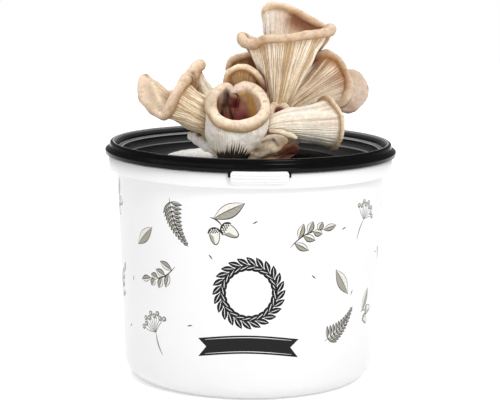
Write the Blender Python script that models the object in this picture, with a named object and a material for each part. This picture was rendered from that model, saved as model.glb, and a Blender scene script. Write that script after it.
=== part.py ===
"""Oyster mushroom grow kit.

A white plastic bucket, a black open lid and a cluster of oyster mushrooms that grows out of the
lid's opening. All sizes are in millimetres and turn into metres where a mesh is made. The bucket
stands on the origin, +Z is up and -Y is the front.
"""
import math
from dataclasses import dataclass

import bmesh
import bpy
import numpy as np

MM = 0.001
GAP = 0.35
FLAT_ENOUGH = math.radians(1.5)
SIDES = 36

# Bucket
FOOT_RADIUS = 82.5
FOOT_WIDTH = 4.5
FOOT_RECESS = 1.5
WALL_LOW_RADIUS = 97.5
WALL_HIGH_RADIUS = 104.0
FILLET = 15.0
WALL = 1.6
FLOOR_THICKNESS = 2.2
COLLAR_BOTTOM = 163.0
COLLAR_TOP = 174.0
COLLAR_RADIUS = 110.3
BEAD_TOP = 181.3
BEAD_OUTER = 108.2
BEAD_INNER = 105.8

# Seal tab at the front of the collar
TAB_WIDTH = 42.7
TAB_BOTTOM = 167.3
TAB_TOP = 176.0
TAB_RADIUS = 114.6
TAB_AZIMUTH = math.radians(3.5)
TAB_CORNER = 2.2
TAB_STEPS = 5

# Lid, with radii and heights of its inner ledges and of the channel under its rim
LID_RADIUS = 113.2
LID_SKIRT_BOTTOM = 174.6
LID_TOP = 184.4
LID_THICKNESS = 1.4
OPENING_RADIUS = 67.3
TRAY_FLOOR = 171.3
LID_LEDGES = [
    (103.4, 179.8), (102.6, 179.0), (100.4, 178.7), (99.7, 178.0), (97.9, 172.4), (96.6, TRAY_FLOOR),
]
LID_CHANNEL = [
    (97.2, TRAY_FLOOR - LID_THICKNESS), (99.4, 171.4), (101.2, 177.2), (104.0, 177.8), (105.4, 182.2),
    (108.6, 182.4), (108.9, 179.4), (111.6, 178.0), (111.6, LID_SKIRT_BOTTOM),
]

# Substrate
SUBSTRATE_RADIUS = 93.0
SKIN_RADIUS = 66.5
SKIN_TOP = 171.3

# Trunk of the cluster: height, middle and half widths along X and Y at each level
TRUNK_SIDES = 20
TRUNK_LEVELS = [
    (SKIN_TOP + GAP, (1, -3), (29, 27)),
    (175.0, (1, -3), (30, 28)),
    (181.0, (2, -1), (27, 25)),
    (188.0, (4, 2), (21, 19)),
    (194.0, (6, 4), (14, 12)),
    (198.0, (8, 5), (7, 6)),
]
TRUNK_TOP = 199.0

# Slender buds: points along each and its radius at them
FINGER_SIDES = 10
FINGERS = {
    "bud_finger": (
        [(14, -37, 196), (22, -40, 196), (30, -43, 194), (35, -46, 192)],
        [2.0, 2.3, 2.1, 1.3],
    ),
    "bud_left": (
        [(-19, -25, 177), (-30, -23, 181), (-40, -18, 186.5), (-48, -14, 191)],
        [4.6, 4.6, 4.2, 3.2],
    ),
}


@dataclass
class Fruit:
    """One fruiting body. Its stem runs from root to neck, and its gills run from neck to rim.

    A rim point may have a fourth number, the radius of the rolled lip there. A funnel's inner
    surface goes down to the share hollow of the way from neck to rim. A cap with a dome has a
    closed upper surface that rises by that much in the middle. The gills end under the lip, in by
    the share tuck of its radius, and the lip's arc begins at the angle lip_start in degrees.
    """

    name: str
    root: tuple
    neck: tuple
    rim: list
    stem_radii: tuple = (8.0, 6.5)
    lip: float = 3.0
    flare: float = 0.3
    belly: float = 0.0
    flesh: float = 2.7
    hollow: float = 0.4
    dome: float = 0.0
    tuck: float = 0.5
    lip_start: float = -75.0
    around: int = 20
    colour: tuple = (0.80, 0.68, 0.53)


FRUITS = [
    Fruit(
        "mushroom_front_cup",
        root=(-13, -28, 166),
        neck=(-13, -31, 180),
        rim=[
            (-29.8, -43.3, 212), (-29.6, -37, 219.5), (-24.6, -30, 225.3), (-18.6, -28, 227.3),
            (-13.5, -31, 224.5, 3.6), (-8.5, -27.5, 227.6), (-2.7, -26, 228.4), (4.6, -30.3, 224),
            (9.8, -37.8, 217.6), (10, -46, 211), (5, -53.5, 205.6), (-6, -57.8, 202.3),
            (-17, -56.8, 202.8), (-25.6, -51.4, 206.6),
        ],
        stem_radii=(10.0, 14.5),
        lip=4.6,
        flare=-0.35,
        belly=9.0,
        flesh=5.0,
        hollow=0.25,
        tuck=-0.5,
        lip_start=-45.0,
        around=24,
        colour=(0.82, 0.70, 0.56),
    ),
    Fruit(
        "mushroom_right_low",
        root=(2, -24, 174),
        neck=(14, -28, 197),
        rim=[
            (58, -21, 220), (63, -31, 216), (68, -39, 209), (69, -42, 198), (67, -39, 189),
            (63, -29, 182), (58, -10, 183), (53, 2, 193), (51, 1, 206), (53, -8, 216),
        ],
        stem_radii=(9.0, 8.5),
        lip=2.2,
        flare=0.05,
        belly=1.5,
        hollow=0.45,
        around=18,
        colour=(0.88, 0.80, 0.67),
    ),
    Fruit(
        "mushroom_left_low",
        root=(-13, -14, 172),
        neck=(-31, -19, 200),
        rim=[
            (-49, -29, 235, 4.6), (-53, -35, 229, 3.8), (-58, -39, 221, 4.2), (-62, -39, 212, 3.8),
            (-66, -35, 206, 2.4), (-74, -23, 209.5, 4), (-81, -12, 217, 4.7), (-84, -3, 225, 4.8),
            (-83, 3, 230.5, 4.7), (-79, 7, 227.5, 4.2), (-77, 10, 221, 3.2), (-69, 14, 218.5),
            (-59, 13, 218.5), (-50, 6, 220), (-46.5, -6, 224.5), (-47, -18, 231, 4),
        ],
        stem_radii=(10.0, 12.0),
        lip=3.0,
        flare=0.0,
        belly=7.0,
        hollow=0.45,
        around=22,
    ),
    Fruit(
        "mushroom_tall_front",
        root=(9, -2, 180),
        neck=(20, -1, 210),
        rim=[
            (3, -24.5, 260.5, 3.8), (8, -30, 264.5), (19, -34, 266), (31, -35, 267),
            (43, -32, 269), (53, -26, 270), (60, -14, 271, 4.0), (60, 0, 272, 3.6), (54, 8, 267),
            (38, 10, 261), (20, 8, 260), (6, 3, 260), (-1, -2, 262, 4), (-7, -8.5, 265, 4.4),
            (-6, -15, 262.5, 4.2), (-1.5, -19.5, 260.8, 4),
        ],
        stem_radii=(9.0, 8.5),
        lip=3.5,
        flare=0.05,
        belly=2.0,
        hollow=0.40,
        around=24,
    ),
    Fruit(
        "mushroom_back_small",
        root=(-6, 0, 184),
        neck=(-6, -5, 210),
        rim=[
            (-19, -10, 229), (-18, -14, 237), (-12, -17, 242), (-5, -17, 243), (2, -16, 239),
            (7, -13, 232), (9, -9, 224), (3, 0, 223), (-7, 4, 228), (-15, 0, 228),
        ],
        stem_radii=(7.0, 6.5),
        lip=2.6,
        dome=4.0,
        around=16,
    ),
    Fruit(
        "mushroom_right_fan",
        root=(13, 6, 176),
        neck=(30, 12, 207),
        rim=[
            (46, 20, 246), (52, 22, 249), (60, 23, 250), (68, 21, 246), (73, 17, 239),
            (76, 13, 231), (76, 10, 223), (73, 7, 217), (67, 9, 212), (56, 18, 210),
            (46, 28, 217), (41, 32, 229), (42, 28, 240),
        ],
        stem_radii=(8.0, 6.5),
        lip=3.1,
        flare=0.2,
        dome=5.0,
        around=20,
    ),
    Fruit(
        "mushroom_left_high",
        root=(-13, -4, 174),
        neck=(-29, 2, 205),
        rim=[
            (-40.5, -1, 242, 5.0), (-43.5, -4, 239.5, 5.4), (-44.5, -5, 233.5, 5.2), (-45, -3, 226.5, 4.0),
            (-49, 4, 223), (-52, 11, 229), (-48, 14, 236), (-42, 9, 241),
        ],
        stem_radii=(7.5, 8.0),
        flare=0.0,
        belly=1.0,
        hollow=0.5,
        around=16,
    ),
    Fruit(
        "mushroom_tall_back",
        root=(4, 15, 170),
        neck=(18, 19, 216),
        rim=[
            (11, 17, 266, 1.6), (9.5, 15.5, 276, 1.8), (9.5, 13.5, 284, 2.6), (13, 13.5, 287.8, 3.0),
            (22, 15, 287.8, 3.3), (32, 16.5, 284.3, 3.4), (42, 17, 279, 3.3), (52, 16, 274, 3.0),
            (59, 15, 270.5), (58, 22, 262), (46, 28, 248), (30, 31, 241), (17, 25, 250),
        ],
        stem_radii=(8.0, 7.0),
        lip=2.6,
        flare=0.05,
        dome=5.0,
        around=20,
        colour=(0.84, 0.73, 0.59),
    ),
    Fruit(
        "mushroom_right_rear",
        root=(16, 14, 170),
        neck=(60, 33, 205),
        rim=[
            (72, 21, 232), (77, 22, 236), (83, 21, 235), (88, 19, 229), (90, 16, 222),
            (88, 13, 216), (83, 10, 211), (79, 8, 208), (74, 8, 208), (69, 12, 210),
            (67, 17, 216), (68, 21, 225),
        ],
        stem_radii=(7.0, 5.5),
        lip=2.4,
        flare=0.2,
        dome=6.0,
        around=16,
        colour=(0.78, 0.64, 0.54),
    ),
    Fruit(
        "mushroom_back_far",
        root=(-6, 12, 170),
        neck=(-5, 18, 214),
        rim=[
            (-18, 10, 240), (-15, 8, 246), (-8, 7, 249), (0, 9, 250), (6, 13, 246),
            (8, 19, 238), (3, 26, 233), (-9, 27, 232), (-16, 20, 234),
        ],
        stem_radii=(7.0, 6.0),
        lip=2.6,
        dome=4.0,
        around=14,
    ),
    Fruit(
        "bud_middle",
        root=(15, -14, 190),
        neck=(20, -13, 203),
        rim=[
            (15, -15, 211), (17, -11, 214), (22, -9, 215), (27, -10, 213), (29, -13, 210),
            (26, -19, 207), (21, -22, 206), (16, -19, 207),
        ],
        stem_radii=(3.0, 4.0),
        lip=1.6,
        flesh=1.6,
        around=12,
    ),
    Fruit(
        "bud_front",
        root=(0, -36, 173),
        neck=(4, -40, 178),
        rim=[
            (1, -46, 182), (6, -46, 188), (12, -45, 192), (20, -44, 193), (26, -43, 191),
            (25, -45, 187), (19, -49, 183.5), (12, -52, 181.5), (5, -51, 180),
        ],
        stem_radii=(4.0, 4.0),
        lip=2.0,
        dome=2.0,
        around=12,
        colour=(0.86, 0.78, 0.67),
    ),
    Fruit(
        "bud_brown",
        root=(12, -34, 172),
        neck=(17, -38, 174),
        rim=[
            (10, -47, 177), (16, -48, 180), (24, -47, 184), (31, -45, 187), (36, -41, 184),
            (33, -39, 179), (25, -45, 176), (16, -50, 175),
        ],
        stem_radii=(3.0, 3.0),
        lip=1.2,
        dome=1.5,
        around=12,
        colour=(0.30, 0.13, 0.08),
    ),
]


def unit(vectors):
    """The same directions at length one."""
    length = np.linalg.norm(vectors, axis=-1, keepdims=True)
    return vectors / np.maximum(length, 1e-9)


def closed_curve(points, count):
    """Evenly spaced rows along a smooth closed curve through the given rows of numbers."""
    knots = np.array(points, float)
    before = np.roll(knots, 1, axis=0)
    after = np.roll(knots, -1, axis=0)
    beyond = np.roll(knots, -2, axis=0)
    steps = np.linspace(0, 1, 24, endpoint=False)[None, :, None]
    lean_start = (after - before)[:, None] / 2
    lean_end = (beyond - knots)[:, None] / 2
    curve = (
        knots[:, None] * (2 * steps**3 - 3 * steps**2 + 1)
        + lean_start * (steps**3 - 2 * steps**2 + steps)
        + after[:, None] * (3 * steps**2 - 2 * steps**3)
        + lean_end * (steps**3 - steps**2)
    ).reshape(-1, knots.shape[1])
    curve = np.vstack([curve, curve[:1]])
    steps = np.linalg.norm(np.diff(curve[:, :3], axis=0), axis=1)
    length = np.concatenate([[0], np.cumsum(steps)])
    wanted = np.linspace(0, length[-1], count, endpoint=False)
    return np.stack([np.interp(wanted, length, column) for column in curve.T], axis=1)


def ring_directions(rim, centre, axis):
    """Directions across the axis, evenly spread and each as near as can be to its rim point."""
    first = unit(np.cross(axis, (0.3, 1.0, 0.2)))
    second = np.cross(axis, first)
    out = rim - centre
    angles = np.unwrap(np.arctan2(out @ second, out @ first))
    turn = math.copysign(2 * math.pi, angles[-1] - angles[0])
    even = np.linspace(0, turn, len(rim), endpoint=False)
    even = even + np.mean(angles - even)
    return np.cos(even)[:, None] * first + np.sin(even)[:, None] * second


def bezier(a, b, c, d, t):
    """A point of a cubic curve, for whole rings of control points at once."""
    s = 1 - t
    return s**3 * a + 3 * s**2 * t * b + 3 * s * t**2 * c + t**3 * d


def fruit_rings(fruit, around, stem_rings, gill_rings, lip_rings, top_rings):
    """Rings of points from the stem's foot over the gills and the lip to the cap's middle."""
    rows = [tuple(row) + (fruit.lip,) * (4 - len(row)) for row in fruit.rim]
    curve = closed_curve(rows, around)
    rim = curve[:, :3]
    lip = curve[:, 3:]
    centre = rim.mean(axis=0)
    root = np.array(fruit.root, float)
    neck = np.array(fruit.neck, float)
    axis = unit(unit(neck - root) + unit(centre - neck))
    across = ring_directions(rim, centre, axis)
    root_radius, neck_radius = fruit.stem_radii
    neck_ring = neck + across * neck_radius

    rise = np.linalg.norm(rim - neck_ring, axis=1, keepdims=True)
    outward = unit(rim - centre)
    along = unit(np.roll(rim, -1, axis=0) - np.roll(rim, 1, axis=0))
    facing = unit(np.cross(along, outward).sum(axis=0))
    facing = facing * np.sign(facing @ (centre - neck))
    lean = unit(unit(rim - neck_ring) + fruit.flare * outward)
    arrive = lean + facing * 0.6
    arrive = unit(arrive - along * np.sum(arrive * along, axis=1, keepdims=True))
    side = unit(np.cross(along, arrive))
    side = side * np.sign(np.sum(side * outward))
    end = rim - side * lip * fruit.tuck - arrive * lip * 0.8
    lower = neck_ring + axis * rise * 0.2 + across * fruit.belly
    upper = end - lean * rise * 0.35

    rings = []
    for t in np.linspace(0, 1, stem_rings, endpoint=False):
        middle = bezier(root, root + (neck - root) * 0.4, neck - axis * rise.mean() * 0.1, neck, t)
        rings.append(middle + across * (root_radius + (neck_radius - root_radius) * t))
    for t in np.linspace(0, 1, gill_rings):
        rings.append(bezier(neck_ring, lower, upper, end, t))
    last_angle = 130 if fruit.dome else 145
    for angle in np.radians(np.linspace(fruit.lip_start, last_angle, lip_rings)):
        rings.append(rim + lip * (side * math.cos(angle) + arrive * math.sin(angle)))
    if fruit.dome:
        edge = rings[-1]
        for s in np.linspace(0, 1, top_rings + 1)[1:]:
            rise_here = fruit.dome * math.sin(s * math.pi / 2)
            rings.append(edge * (1 - s) + centre * s + facing * rise_here)
    else:
        for s in np.linspace(0, 1, top_rings + 1):
            t = 1 - s * (1 - fruit.hollow)
            outer = bezier(neck_ring, lower, upper, end, t)
            below = bezier(neck_ring, lower, upper, end, t - 0.02)
            step = np.roll(outer, -1, axis=0) - np.roll(outer, 1, axis=0)
            normal = unit(np.cross(step, outer - below))
            normal = unit(np.roll(normal, 1, axis=0) + normal + np.roll(normal, -1, axis=0))
            middle = outer.mean(axis=0)
            normal = normal * np.sign(np.sum(normal * (outer - middle)))
            inner = outer - normal * fruit.flesh
            rings.append(middle + (inner - middle) * (1 - s**2.2))
    return rings


def ring_mesh(name, rings, closed=False):
    """A closed mesh from rings of points, with the end rings drawn together to points."""
    mesh = bmesh.new()
    count = len(rings[0])
    rows = []
    for ring in rings:
        spread = np.ptp(ring, axis=0).max()
        if spread < 0.01:
            rows.append([mesh.verts.new(ring.mean(axis=0) * MM)] * count)
        else:
            rows.append([mesh.verts.new(point * MM) for point in ring])
    pairs = list(zip(rows[:-1], rows[1:]))
    if closed:
        pairs.append((rows[-1], rows[0]))
    for low, high in pairs:
        for i in range(count):
            j = (i + 1) % count
            corners = [low[i], low[j], high[j], high[i]]
            corners = [v for k, v in enumerate(corners) if v not in corners[:k]]
            if len(corners) > 2:
                mesh.faces.new(corners)
    bmesh.ops.triangulate(mesh, faces=mesh.faces[:])
    bmesh.ops.recalc_face_normals(mesh, faces=mesh.faces[:])
    data = bpy.data.meshes.new(name)
    mesh.to_mesh(data)
    mesh.free()
    return data


def material(name, colour, roughness, metallic=0.0):
    """A plain Principled material."""
    made = bpy.data.materials.new(name)
    made.use_nodes = True
    shader = made.node_tree.nodes["Principled BSDF"]
    shader.inputs["Base Color"].default_value = (*colour, 1.0)
    shader.inputs["Roughness"].default_value = roughness
    shader.inputs["Metallic"].default_value = metallic
    return made


def add_object(name, data, look, sharp=30):
    """An object in the scene with its material, smooth but for its sharp edges."""
    thing = bpy.data.objects.new(name, data)
    bpy.context.collection.objects.link(thing)
    data.materials.append(look)
    data.shade_smooth()
    data.set_sharp_from_angle(angle=math.radians(sharp))
    return thing


def circle_ring(radius, height, sides=SIDES):
    """A level ring of points. Its first point faces +X."""
    turns = np.arange(sides) * 2 * math.pi / sides
    return np.stack([radius * np.cos(turns), radius * np.sin(turns), np.full(sides, height)], axis=1)


def arc(centre_r, centre_z, radius, start, end, count):
    """Points of a profile's round corner, with angles in degrees."""
    angles = np.radians(np.linspace(start, end, count))
    return [(centre_r + radius * math.cos(a), centre_z + radius * math.sin(a)) for a in angles]


def wall_radius(height):
    """Outer radius of the bucket's tapered wall."""
    share = (height - FILLET) / (COLLAR_BOTTOM - FILLET)
    return WALL_LOW_RADIUS + (WALL_HIGH_RADIUS - WALL_LOW_RADIUS) * share


def bucket_profile():
    """Radius and height along the bucket, from its underside to its floor inside."""
    foot_inner = FOOT_RADIUS - FOOT_WIDTH
    corner = arc(FOOT_RADIUS, FILLET, FILLET, -90, 0, 4)
    outer = [(0, FOOT_RECESS), (foot_inner - 1, FOOT_RECESS), (foot_inner, 0)] + corner
    collar = [
        (wall_radius(COLLAR_BOTTOM), COLLAR_BOTTOM),
        (COLLAR_RADIUS - 0.5, COLLAR_BOTTOM),
        (COLLAR_RADIUS, COLLAR_BOTTOM + 0.6),
        (COLLAR_RADIUS, COLLAR_TOP),
        (BEAD_INNER + 0.6, COLLAR_TOP + 0.6),
    ]
    bead = [
        (BEAD_OUTER - 1.0, COLLAR_TOP + 4.0),
        (BEAD_OUTER, BEAD_TOP - 1.6),
        (BEAD_OUTER - 0.8, BEAD_TOP),
        (BEAD_INNER, BEAD_TOP - 0.5),
    ]
    inner_corner = arc(FOOT_RADIUS, FILLET, FILLET - WALL, 0, -90, 3)
    lift = FOOT_RECESS + FLOOR_THICKNESS - WALL
    inner = [(wall_radius(COLLAR_BOTTOM) - WALL, COLLAR_BOTTOM)]
    inner += [(r, z + lift) for r, z in inner_corner]
    inner.append((0, FOOT_RECESS + FLOOR_THICKNESS))
    return outer + collar + bead + inner


def lid_profile():
    """Radius and height around the lid's section: over its top inwards, back along its underside."""
    rim = [
        (LID_RADIUS - 0.3, LID_SKIRT_BOTTOM),
        (LID_RADIUS, LID_SKIRT_BOTTOM + 3.4),
        (LID_RADIUS - 3.4, LID_TOP - 3.8),
        (LID_RADIUS - 3.9, LID_TOP - 0.8),
        (LID_RADIUS - 5.0, LID_TOP),
        (LID_RADIUS - 6.4, LID_TOP),
        (LID_RADIUS - 7.8, LID_TOP - 0.8),
    ]
    tray = [(OPENING_RADIUS, TRAY_FLOOR), (OPENING_RADIUS, TRAY_FLOOR - LID_THICKNESS)]
    return rim + LID_LEDGES + tray + LID_CHANNEL


def add_turned(name, profile, look, closed=False):
    """A turned solid from a profile of radii and heights."""
    rings = [circle_ring(r, z) for r, z in profile]
    return add_object(name, ring_mesh(name, rings, closed), look)


def tab_mesh(name, room=0.0):
    """The seal tab: a curved plate with round upper corners, partly sunk in the collar."""
    half = TAB_WIDTH / 2
    middle = np.linspace(TAB_CORNER - half, half - TAB_CORNER, TAB_STEPS)
    end = half - TAB_CORNER * 0.3
    mesh = bmesh.new()
    columns = []
    for along in [-half, -end, *middle, end, half]:
        angle = TAB_AZIMUTH - math.pi / 2 + math.copysign(abs(along) + room, along) / TAB_RADIUS
        into_corner = max(0.0, abs(along) - half + TAB_CORNER)
        drop = TAB_CORNER - math.sqrt(TAB_CORNER**2 - into_corner**2)
        column = []
        for radius in (COLLAR_RADIUS - 1.0, TAB_RADIUS):
            for height in (TAB_BOTTOM, TAB_TOP - drop + room):
                place = (radius * math.cos(angle) * MM, radius * math.sin(angle) * MM, height * MM)
                column.append(mesh.verts.new(place))
        columns.append(column)
    order = (0, 1, 3, 2)
    for left, right in zip(columns[:-1], columns[1:]):
        for a, b in zip(order, order[1:] + order[:1]):
            mesh.faces.new([left[a], left[b], right[b], right[a]])
    for column in (columns[0], columns[-1]):
        mesh.faces.new([column[k] for k in order])
    bmesh.ops.triangulate(mesh, faces=mesh.faces[:])
    bmesh.ops.recalc_face_normals(mesh, faces=mesh.faces[:])
    data = bpy.data.meshes.new(name)
    mesh.to_mesh(data)
    mesh.free()
    return data


def boolean(thing, other, operation):
    """Applies a union or a difference and keeps the result as the object's own mesh."""
    cut = thing.modifiers.new("cut", "BOOLEAN")
    cut.solver = "EXACT"
    cut.operation = operation
    cut.object = other
    graph = bpy.context.evaluated_depsgraph_get()
    result = bpy.data.meshes.new_from_object(thing.evaluated_get(graph))
    thing.modifiers.clear()
    thing.data = result


def keep_largest(thing):
    """Removes loose crumbs that a cut leaves, and merges points that lie on each other."""
    mesh = bmesh.new()
    mesh.from_mesh(thing.data)
    bmesh.ops.remove_doubles(mesh, verts=mesh.verts[:], dist=0.02 * MM)
    unseen = set(mesh.verts)
    islands = []
    while unseen:
        todo = [unseen.pop()]
        island = list(todo)
        while todo:
            for edge in todo.pop().link_edges:
                for vert in edge.verts:
                    if vert in unseen:
                        unseen.discard(vert)
                        todo.append(vert)
                        island.append(vert)
        islands.append(island)
    islands.sort(key=len, reverse=True)
    for island in islands[1:]:
        bmesh.ops.delete(mesh, geom=island, context="VERTS")
    mesh.to_mesh(thing.data)
    mesh.free()


def join_flat_faces(thing):
    """Joins nearly level neighbour faces, so that a cut piece has no needless triangles."""
    mesh = bmesh.new()
    mesh.from_mesh(thing.data)
    bmesh.ops.dissolve_limit(
        mesh, angle_limit=FLAT_ENOUGH, verts=mesh.verts[:], edges=mesh.edges[:]
    )
    bmesh.ops.triangulate(mesh, faces=mesh.faces[:])
    mesh.to_mesh(thing.data)
    mesh.free()


def swollen_copy(thing, amount):
    """A copy whose surface lies outside the original's, to cut neighbours with room to spare."""
    data = thing.data.copy()
    coords = np.zeros(len(data.vertices) * 3)
    normals = np.zeros(len(data.vertices) * 3)
    data.vertices.foreach_get("co", coords)
    data.vertex_normals.foreach_get("vector", normals)
    data.vertices.foreach_set("co", coords + normals * amount * MM)
    data.update()
    copy = bpy.data.objects.new("cutter", data)
    bpy.context.collection.objects.link(copy)
    copy.hide_render = True
    copy.display_type = "WIRE"
    return copy


def boxes_meet(one, other):
    """Whether two objects' boxes overlap."""
    lows = []
    highs = []
    for thing in (one, other):
        corners = np.array([v.co[:] for v in thing.data.vertices])
        lows.append(corners.min(axis=0))
        highs.append(corners.max(axis=0))
    return bool((lows[0] < highs[1]).all() and (lows[1] < highs[0]).all())


def cut_clear(thing, neighbours):
    """Cuts a piece back to a small gap from each neighbour that it runs into."""
    for neighbour in neighbours:
        if boxes_meet(thing, neighbour):
            cutter = swollen_copy(neighbour, GAP)
            boolean(thing, cutter, "DIFFERENCE")
            bpy.data.objects.remove(cutter)
            keep_largest(thing)


def add_bucket():
    """The bucket, with the seal tab moulded onto its collar."""
    white = material("bucket_white", (0.93, 0.93, 0.93), 0.35)
    bucket = add_turned("bucket", bucket_profile(), white)
    tab = add_object("tab", tab_mesh("tab"), white)
    boolean(bucket, tab, "UNION")
    bpy.data.objects.remove(tab)
    keep_largest(bucket)
    return bucket


def add_lid():
    """The lid, notched where the seal tab stands in front of its skirt."""
    black = material("lid_black", (0.02, 0.02, 0.022), 0.3)
    lid = add_turned("lid", lid_profile(), black, closed=True)
    notch = add_object("notch", tab_mesh("notch", room=GAP), black)
    boolean(lid, notch, "DIFFERENCE")
    bpy.data.objects.remove(notch)
    keep_largest(lid)
    return lid


def add_substrate():
    """The block in the bucket, with its raised skin in the lid's opening."""
    white = material("substrate_white", (0.90, 0.89, 0.86), 0.8)
    floor = FOOT_RECESS + FLOOR_THICKNESS + GAP
    low = WALL_LOW_RADIUS - WALL - 1.0
    profile = [
        (0, floor),
        (FOOT_RADIUS, floor),
        (low, FILLET + 3),
        (SUBSTRATE_RADIUS, TRAY_FLOOR - LID_THICKNESS - 1.0),
        (SKIN_RADIUS, TRAY_FLOOR - LID_THICKNESS - 1.0),
        (SKIN_RADIUS, SKIN_TOP - 0.6),
        (SKIN_RADIUS - 1.0, SKIN_TOP),
        (0, SKIN_TOP),
    ]
    return add_turned("substrate", profile, white)


def add_cluster_base():
    """The trunk that the stems fork from: a lumpy mound that narrows upwards."""
    look = material("base_cream", (0.83, 0.77, 0.66), 0.75)
    turns = np.linspace(0, 2 * math.pi, TRUNK_SIDES, endpoint=False)
    rings = []
    for level, (height, (x, y), (wide, deep)) in enumerate(TRUNK_LEVELS):
        lump = 1 + 0.10 * np.sin(3 * turns + level) + 0.05 * np.sin(7 * turns + 2 * level)
        level_ring = [x + wide * lump * np.cos(turns), y + deep * lump * np.sin(turns)]
        rings.append(np.stack([*level_ring, np.full(TRUNK_SIDES, height)], axis=1))
    bottom = np.tile(rings[0].mean(axis=0), (TRUNK_SIDES, 1))
    top = np.tile([*TRUNK_LEVELS[-1][1], TRUNK_TOP], (TRUNK_SIDES, 1))
    return add_object("cluster_base", ring_mesh("cluster_base", [bottom] + rings + [top]), look, 60)


def add_finger(name, path, radii):
    """A slender bud: a tapered rod along a path of points."""
    look = material(name + "_pale", (0.88, 0.80, 0.68), 0.7)
    points = np.array(path, float)
    rings = [np.tile(points[0], (FINGER_SIDES, 1))]
    turns = np.linspace(0, 2 * math.pi, FINGER_SIDES, endpoint=False)
    for i, radius in enumerate(radii):
        direction = unit(points[min(i + 1, len(points) - 1)] - points[max(i - 1, 0)])
        first = unit(np.cross(direction, (0, 1, 0.2)))
        second = np.cross(direction, first)
        ring = np.cos(turns)[:, None] * first + np.sin(turns)[:, None] * second
        rings.append(points[i] + ring * radius)
    tip = points[-1] + unit(points[-1] - points[-2]) * radii[-1] * 0.7
    rings.append(np.tile(tip, (FINGER_SIDES, 1)))
    return add_object(name, ring_mesh(name, rings), look, 60)


def add_fruit(fruit):
    """One fruiting body."""
    look = material(fruit.name + "_flesh", fruit.colour, 0.65)
    small = fruit.around < 17
    rings = fruit_rings(
        fruit,
        fruit.around,
        stem_rings=1,
        gill_rings=3 if small else 4,
        lip_rings=3 if small else 4,
        top_rings=2,
    )
    rings = [np.tile(rings[0].mean(axis=0), (fruit.around, 1))] + rings
    return add_object(fruit.name, ring_mesh(fruit.name, rings), look, 60)


def main():
    for thing in list(bpy.data.objects):
        bpy.data.objects.remove(thing)
    join_flat_faces(add_bucket())
    lid = add_lid()
    join_flat_faces(lid)
    standing = [add_substrate(), lid, add_cluster_base()]
    pieces = [add_fruit(fruit) for fruit in FRUITS]
    pieces += [add_finger(name, path, radii) for name, (path, radii) in FINGERS.items()]
    for piece in pieces:
        cut_clear(piece, standing)
        join_flat_faces(piece)
        standing.append(piece)


main()
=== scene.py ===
import math
from dataclasses import dataclass, field

import bpy
import numpy as np
from mathutils import Matrix, Vector
from mathutils.bvhtree import BVHTree
from mathutils.geometry import delaunay_2d_cdt


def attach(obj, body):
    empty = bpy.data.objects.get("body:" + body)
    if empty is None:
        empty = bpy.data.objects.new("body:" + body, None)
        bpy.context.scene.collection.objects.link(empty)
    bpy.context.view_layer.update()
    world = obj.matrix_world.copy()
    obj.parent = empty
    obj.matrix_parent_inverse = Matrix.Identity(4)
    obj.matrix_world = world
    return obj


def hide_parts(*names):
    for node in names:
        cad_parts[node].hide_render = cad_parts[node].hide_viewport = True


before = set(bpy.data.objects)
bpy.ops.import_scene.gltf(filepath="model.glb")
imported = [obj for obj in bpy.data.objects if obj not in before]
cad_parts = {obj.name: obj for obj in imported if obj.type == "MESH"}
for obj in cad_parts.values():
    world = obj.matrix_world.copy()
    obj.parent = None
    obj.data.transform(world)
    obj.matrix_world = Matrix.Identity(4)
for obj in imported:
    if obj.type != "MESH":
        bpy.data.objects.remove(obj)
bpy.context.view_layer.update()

MM = 0.001

# Sizes shared with the solids, in millimetres
FOOT_RADIUS = 82.5
FOOT_WIDTH = 4.5
FOOT_RECESS = 1.5
WALL_LOW_RADIUS = 97.5
WALL_HIGH_RADIUS = 104.0
FILLET = 15.0
WALL = 1.6
FLOOR_THICKNESS = 2.2
COLLAR_BOTTOM = 163.0
COLLAR_TOP = 174.0
COLLAR_RADIUS = 110.3
BEAD_TOP = 181.3
BEAD_OUTER = 108.2
BEAD_INNER = 105.8
TAB_WIDTH = 42.7
TAB_BOTTOM = 167.3
TAB_TOP = 176.0
TAB_RADIUS = 114.6
TAB_AZIMUTH = math.radians(3.5)
TAB_CORNER = 2.2
LID_RADIUS = 113.2
LID_SKIRT_BOTTOM = 174.6
LID_TOP = 184.4
LID_THICKNESS = 1.4
OPENING_RADIUS = 67.3
TRAY_FLOOR = 171.3
LID_LEDGES = [
    (103.4, 179.8), (102.6, 179.0), (100.4, 178.7), (99.7, 178.0), (97.9, 172.4), (96.6, TRAY_FLOOR),
]
LID_CHANNEL = [
    (97.2, TRAY_FLOOR - LID_THICKNESS), (99.4, 171.4), (101.2, 177.2), (104.0, 177.8), (105.4, 182.2),
    (108.6, 182.4), (108.9, 179.4), (111.6, 178.0), (111.6, LID_SKIRT_BOTTOM),
]
SUBSTRATE_RADIUS = 93.0
SKIN_RADIUS = 66.5
SKIN_TOP = 171.3

# The trunk's levels: height, middle and half widths along X and Y
TRUNK_LEVELS = [
    (171.6, 1, -3, 29, 27), (175.0, 1, -3, 30, 28), (181.0, 2, -1, 27, 25),
    (188.0, 4, 2, 21, 19), (194.0, 6, 4, 14, 12), (198.0, 8, 5, 7, 6),
]

# Ribs across the tab, with their places and width as shares of its height
TAB_RIBS = (0.35, 0.70)
TAB_RIB_WIDTH = 0.06
TAB_RIB_HEIGHT = 0.25

# Other small details that the solids leave out, in millimetres
LUG_GAP = 0.9
LUG_WIDTH = 2.4
LUG_INNER = 110.6
LUG_OUTER = 113.4
LUG_BOTTOM = 171.4
CORNER_ROUNDING = 0.6

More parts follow.
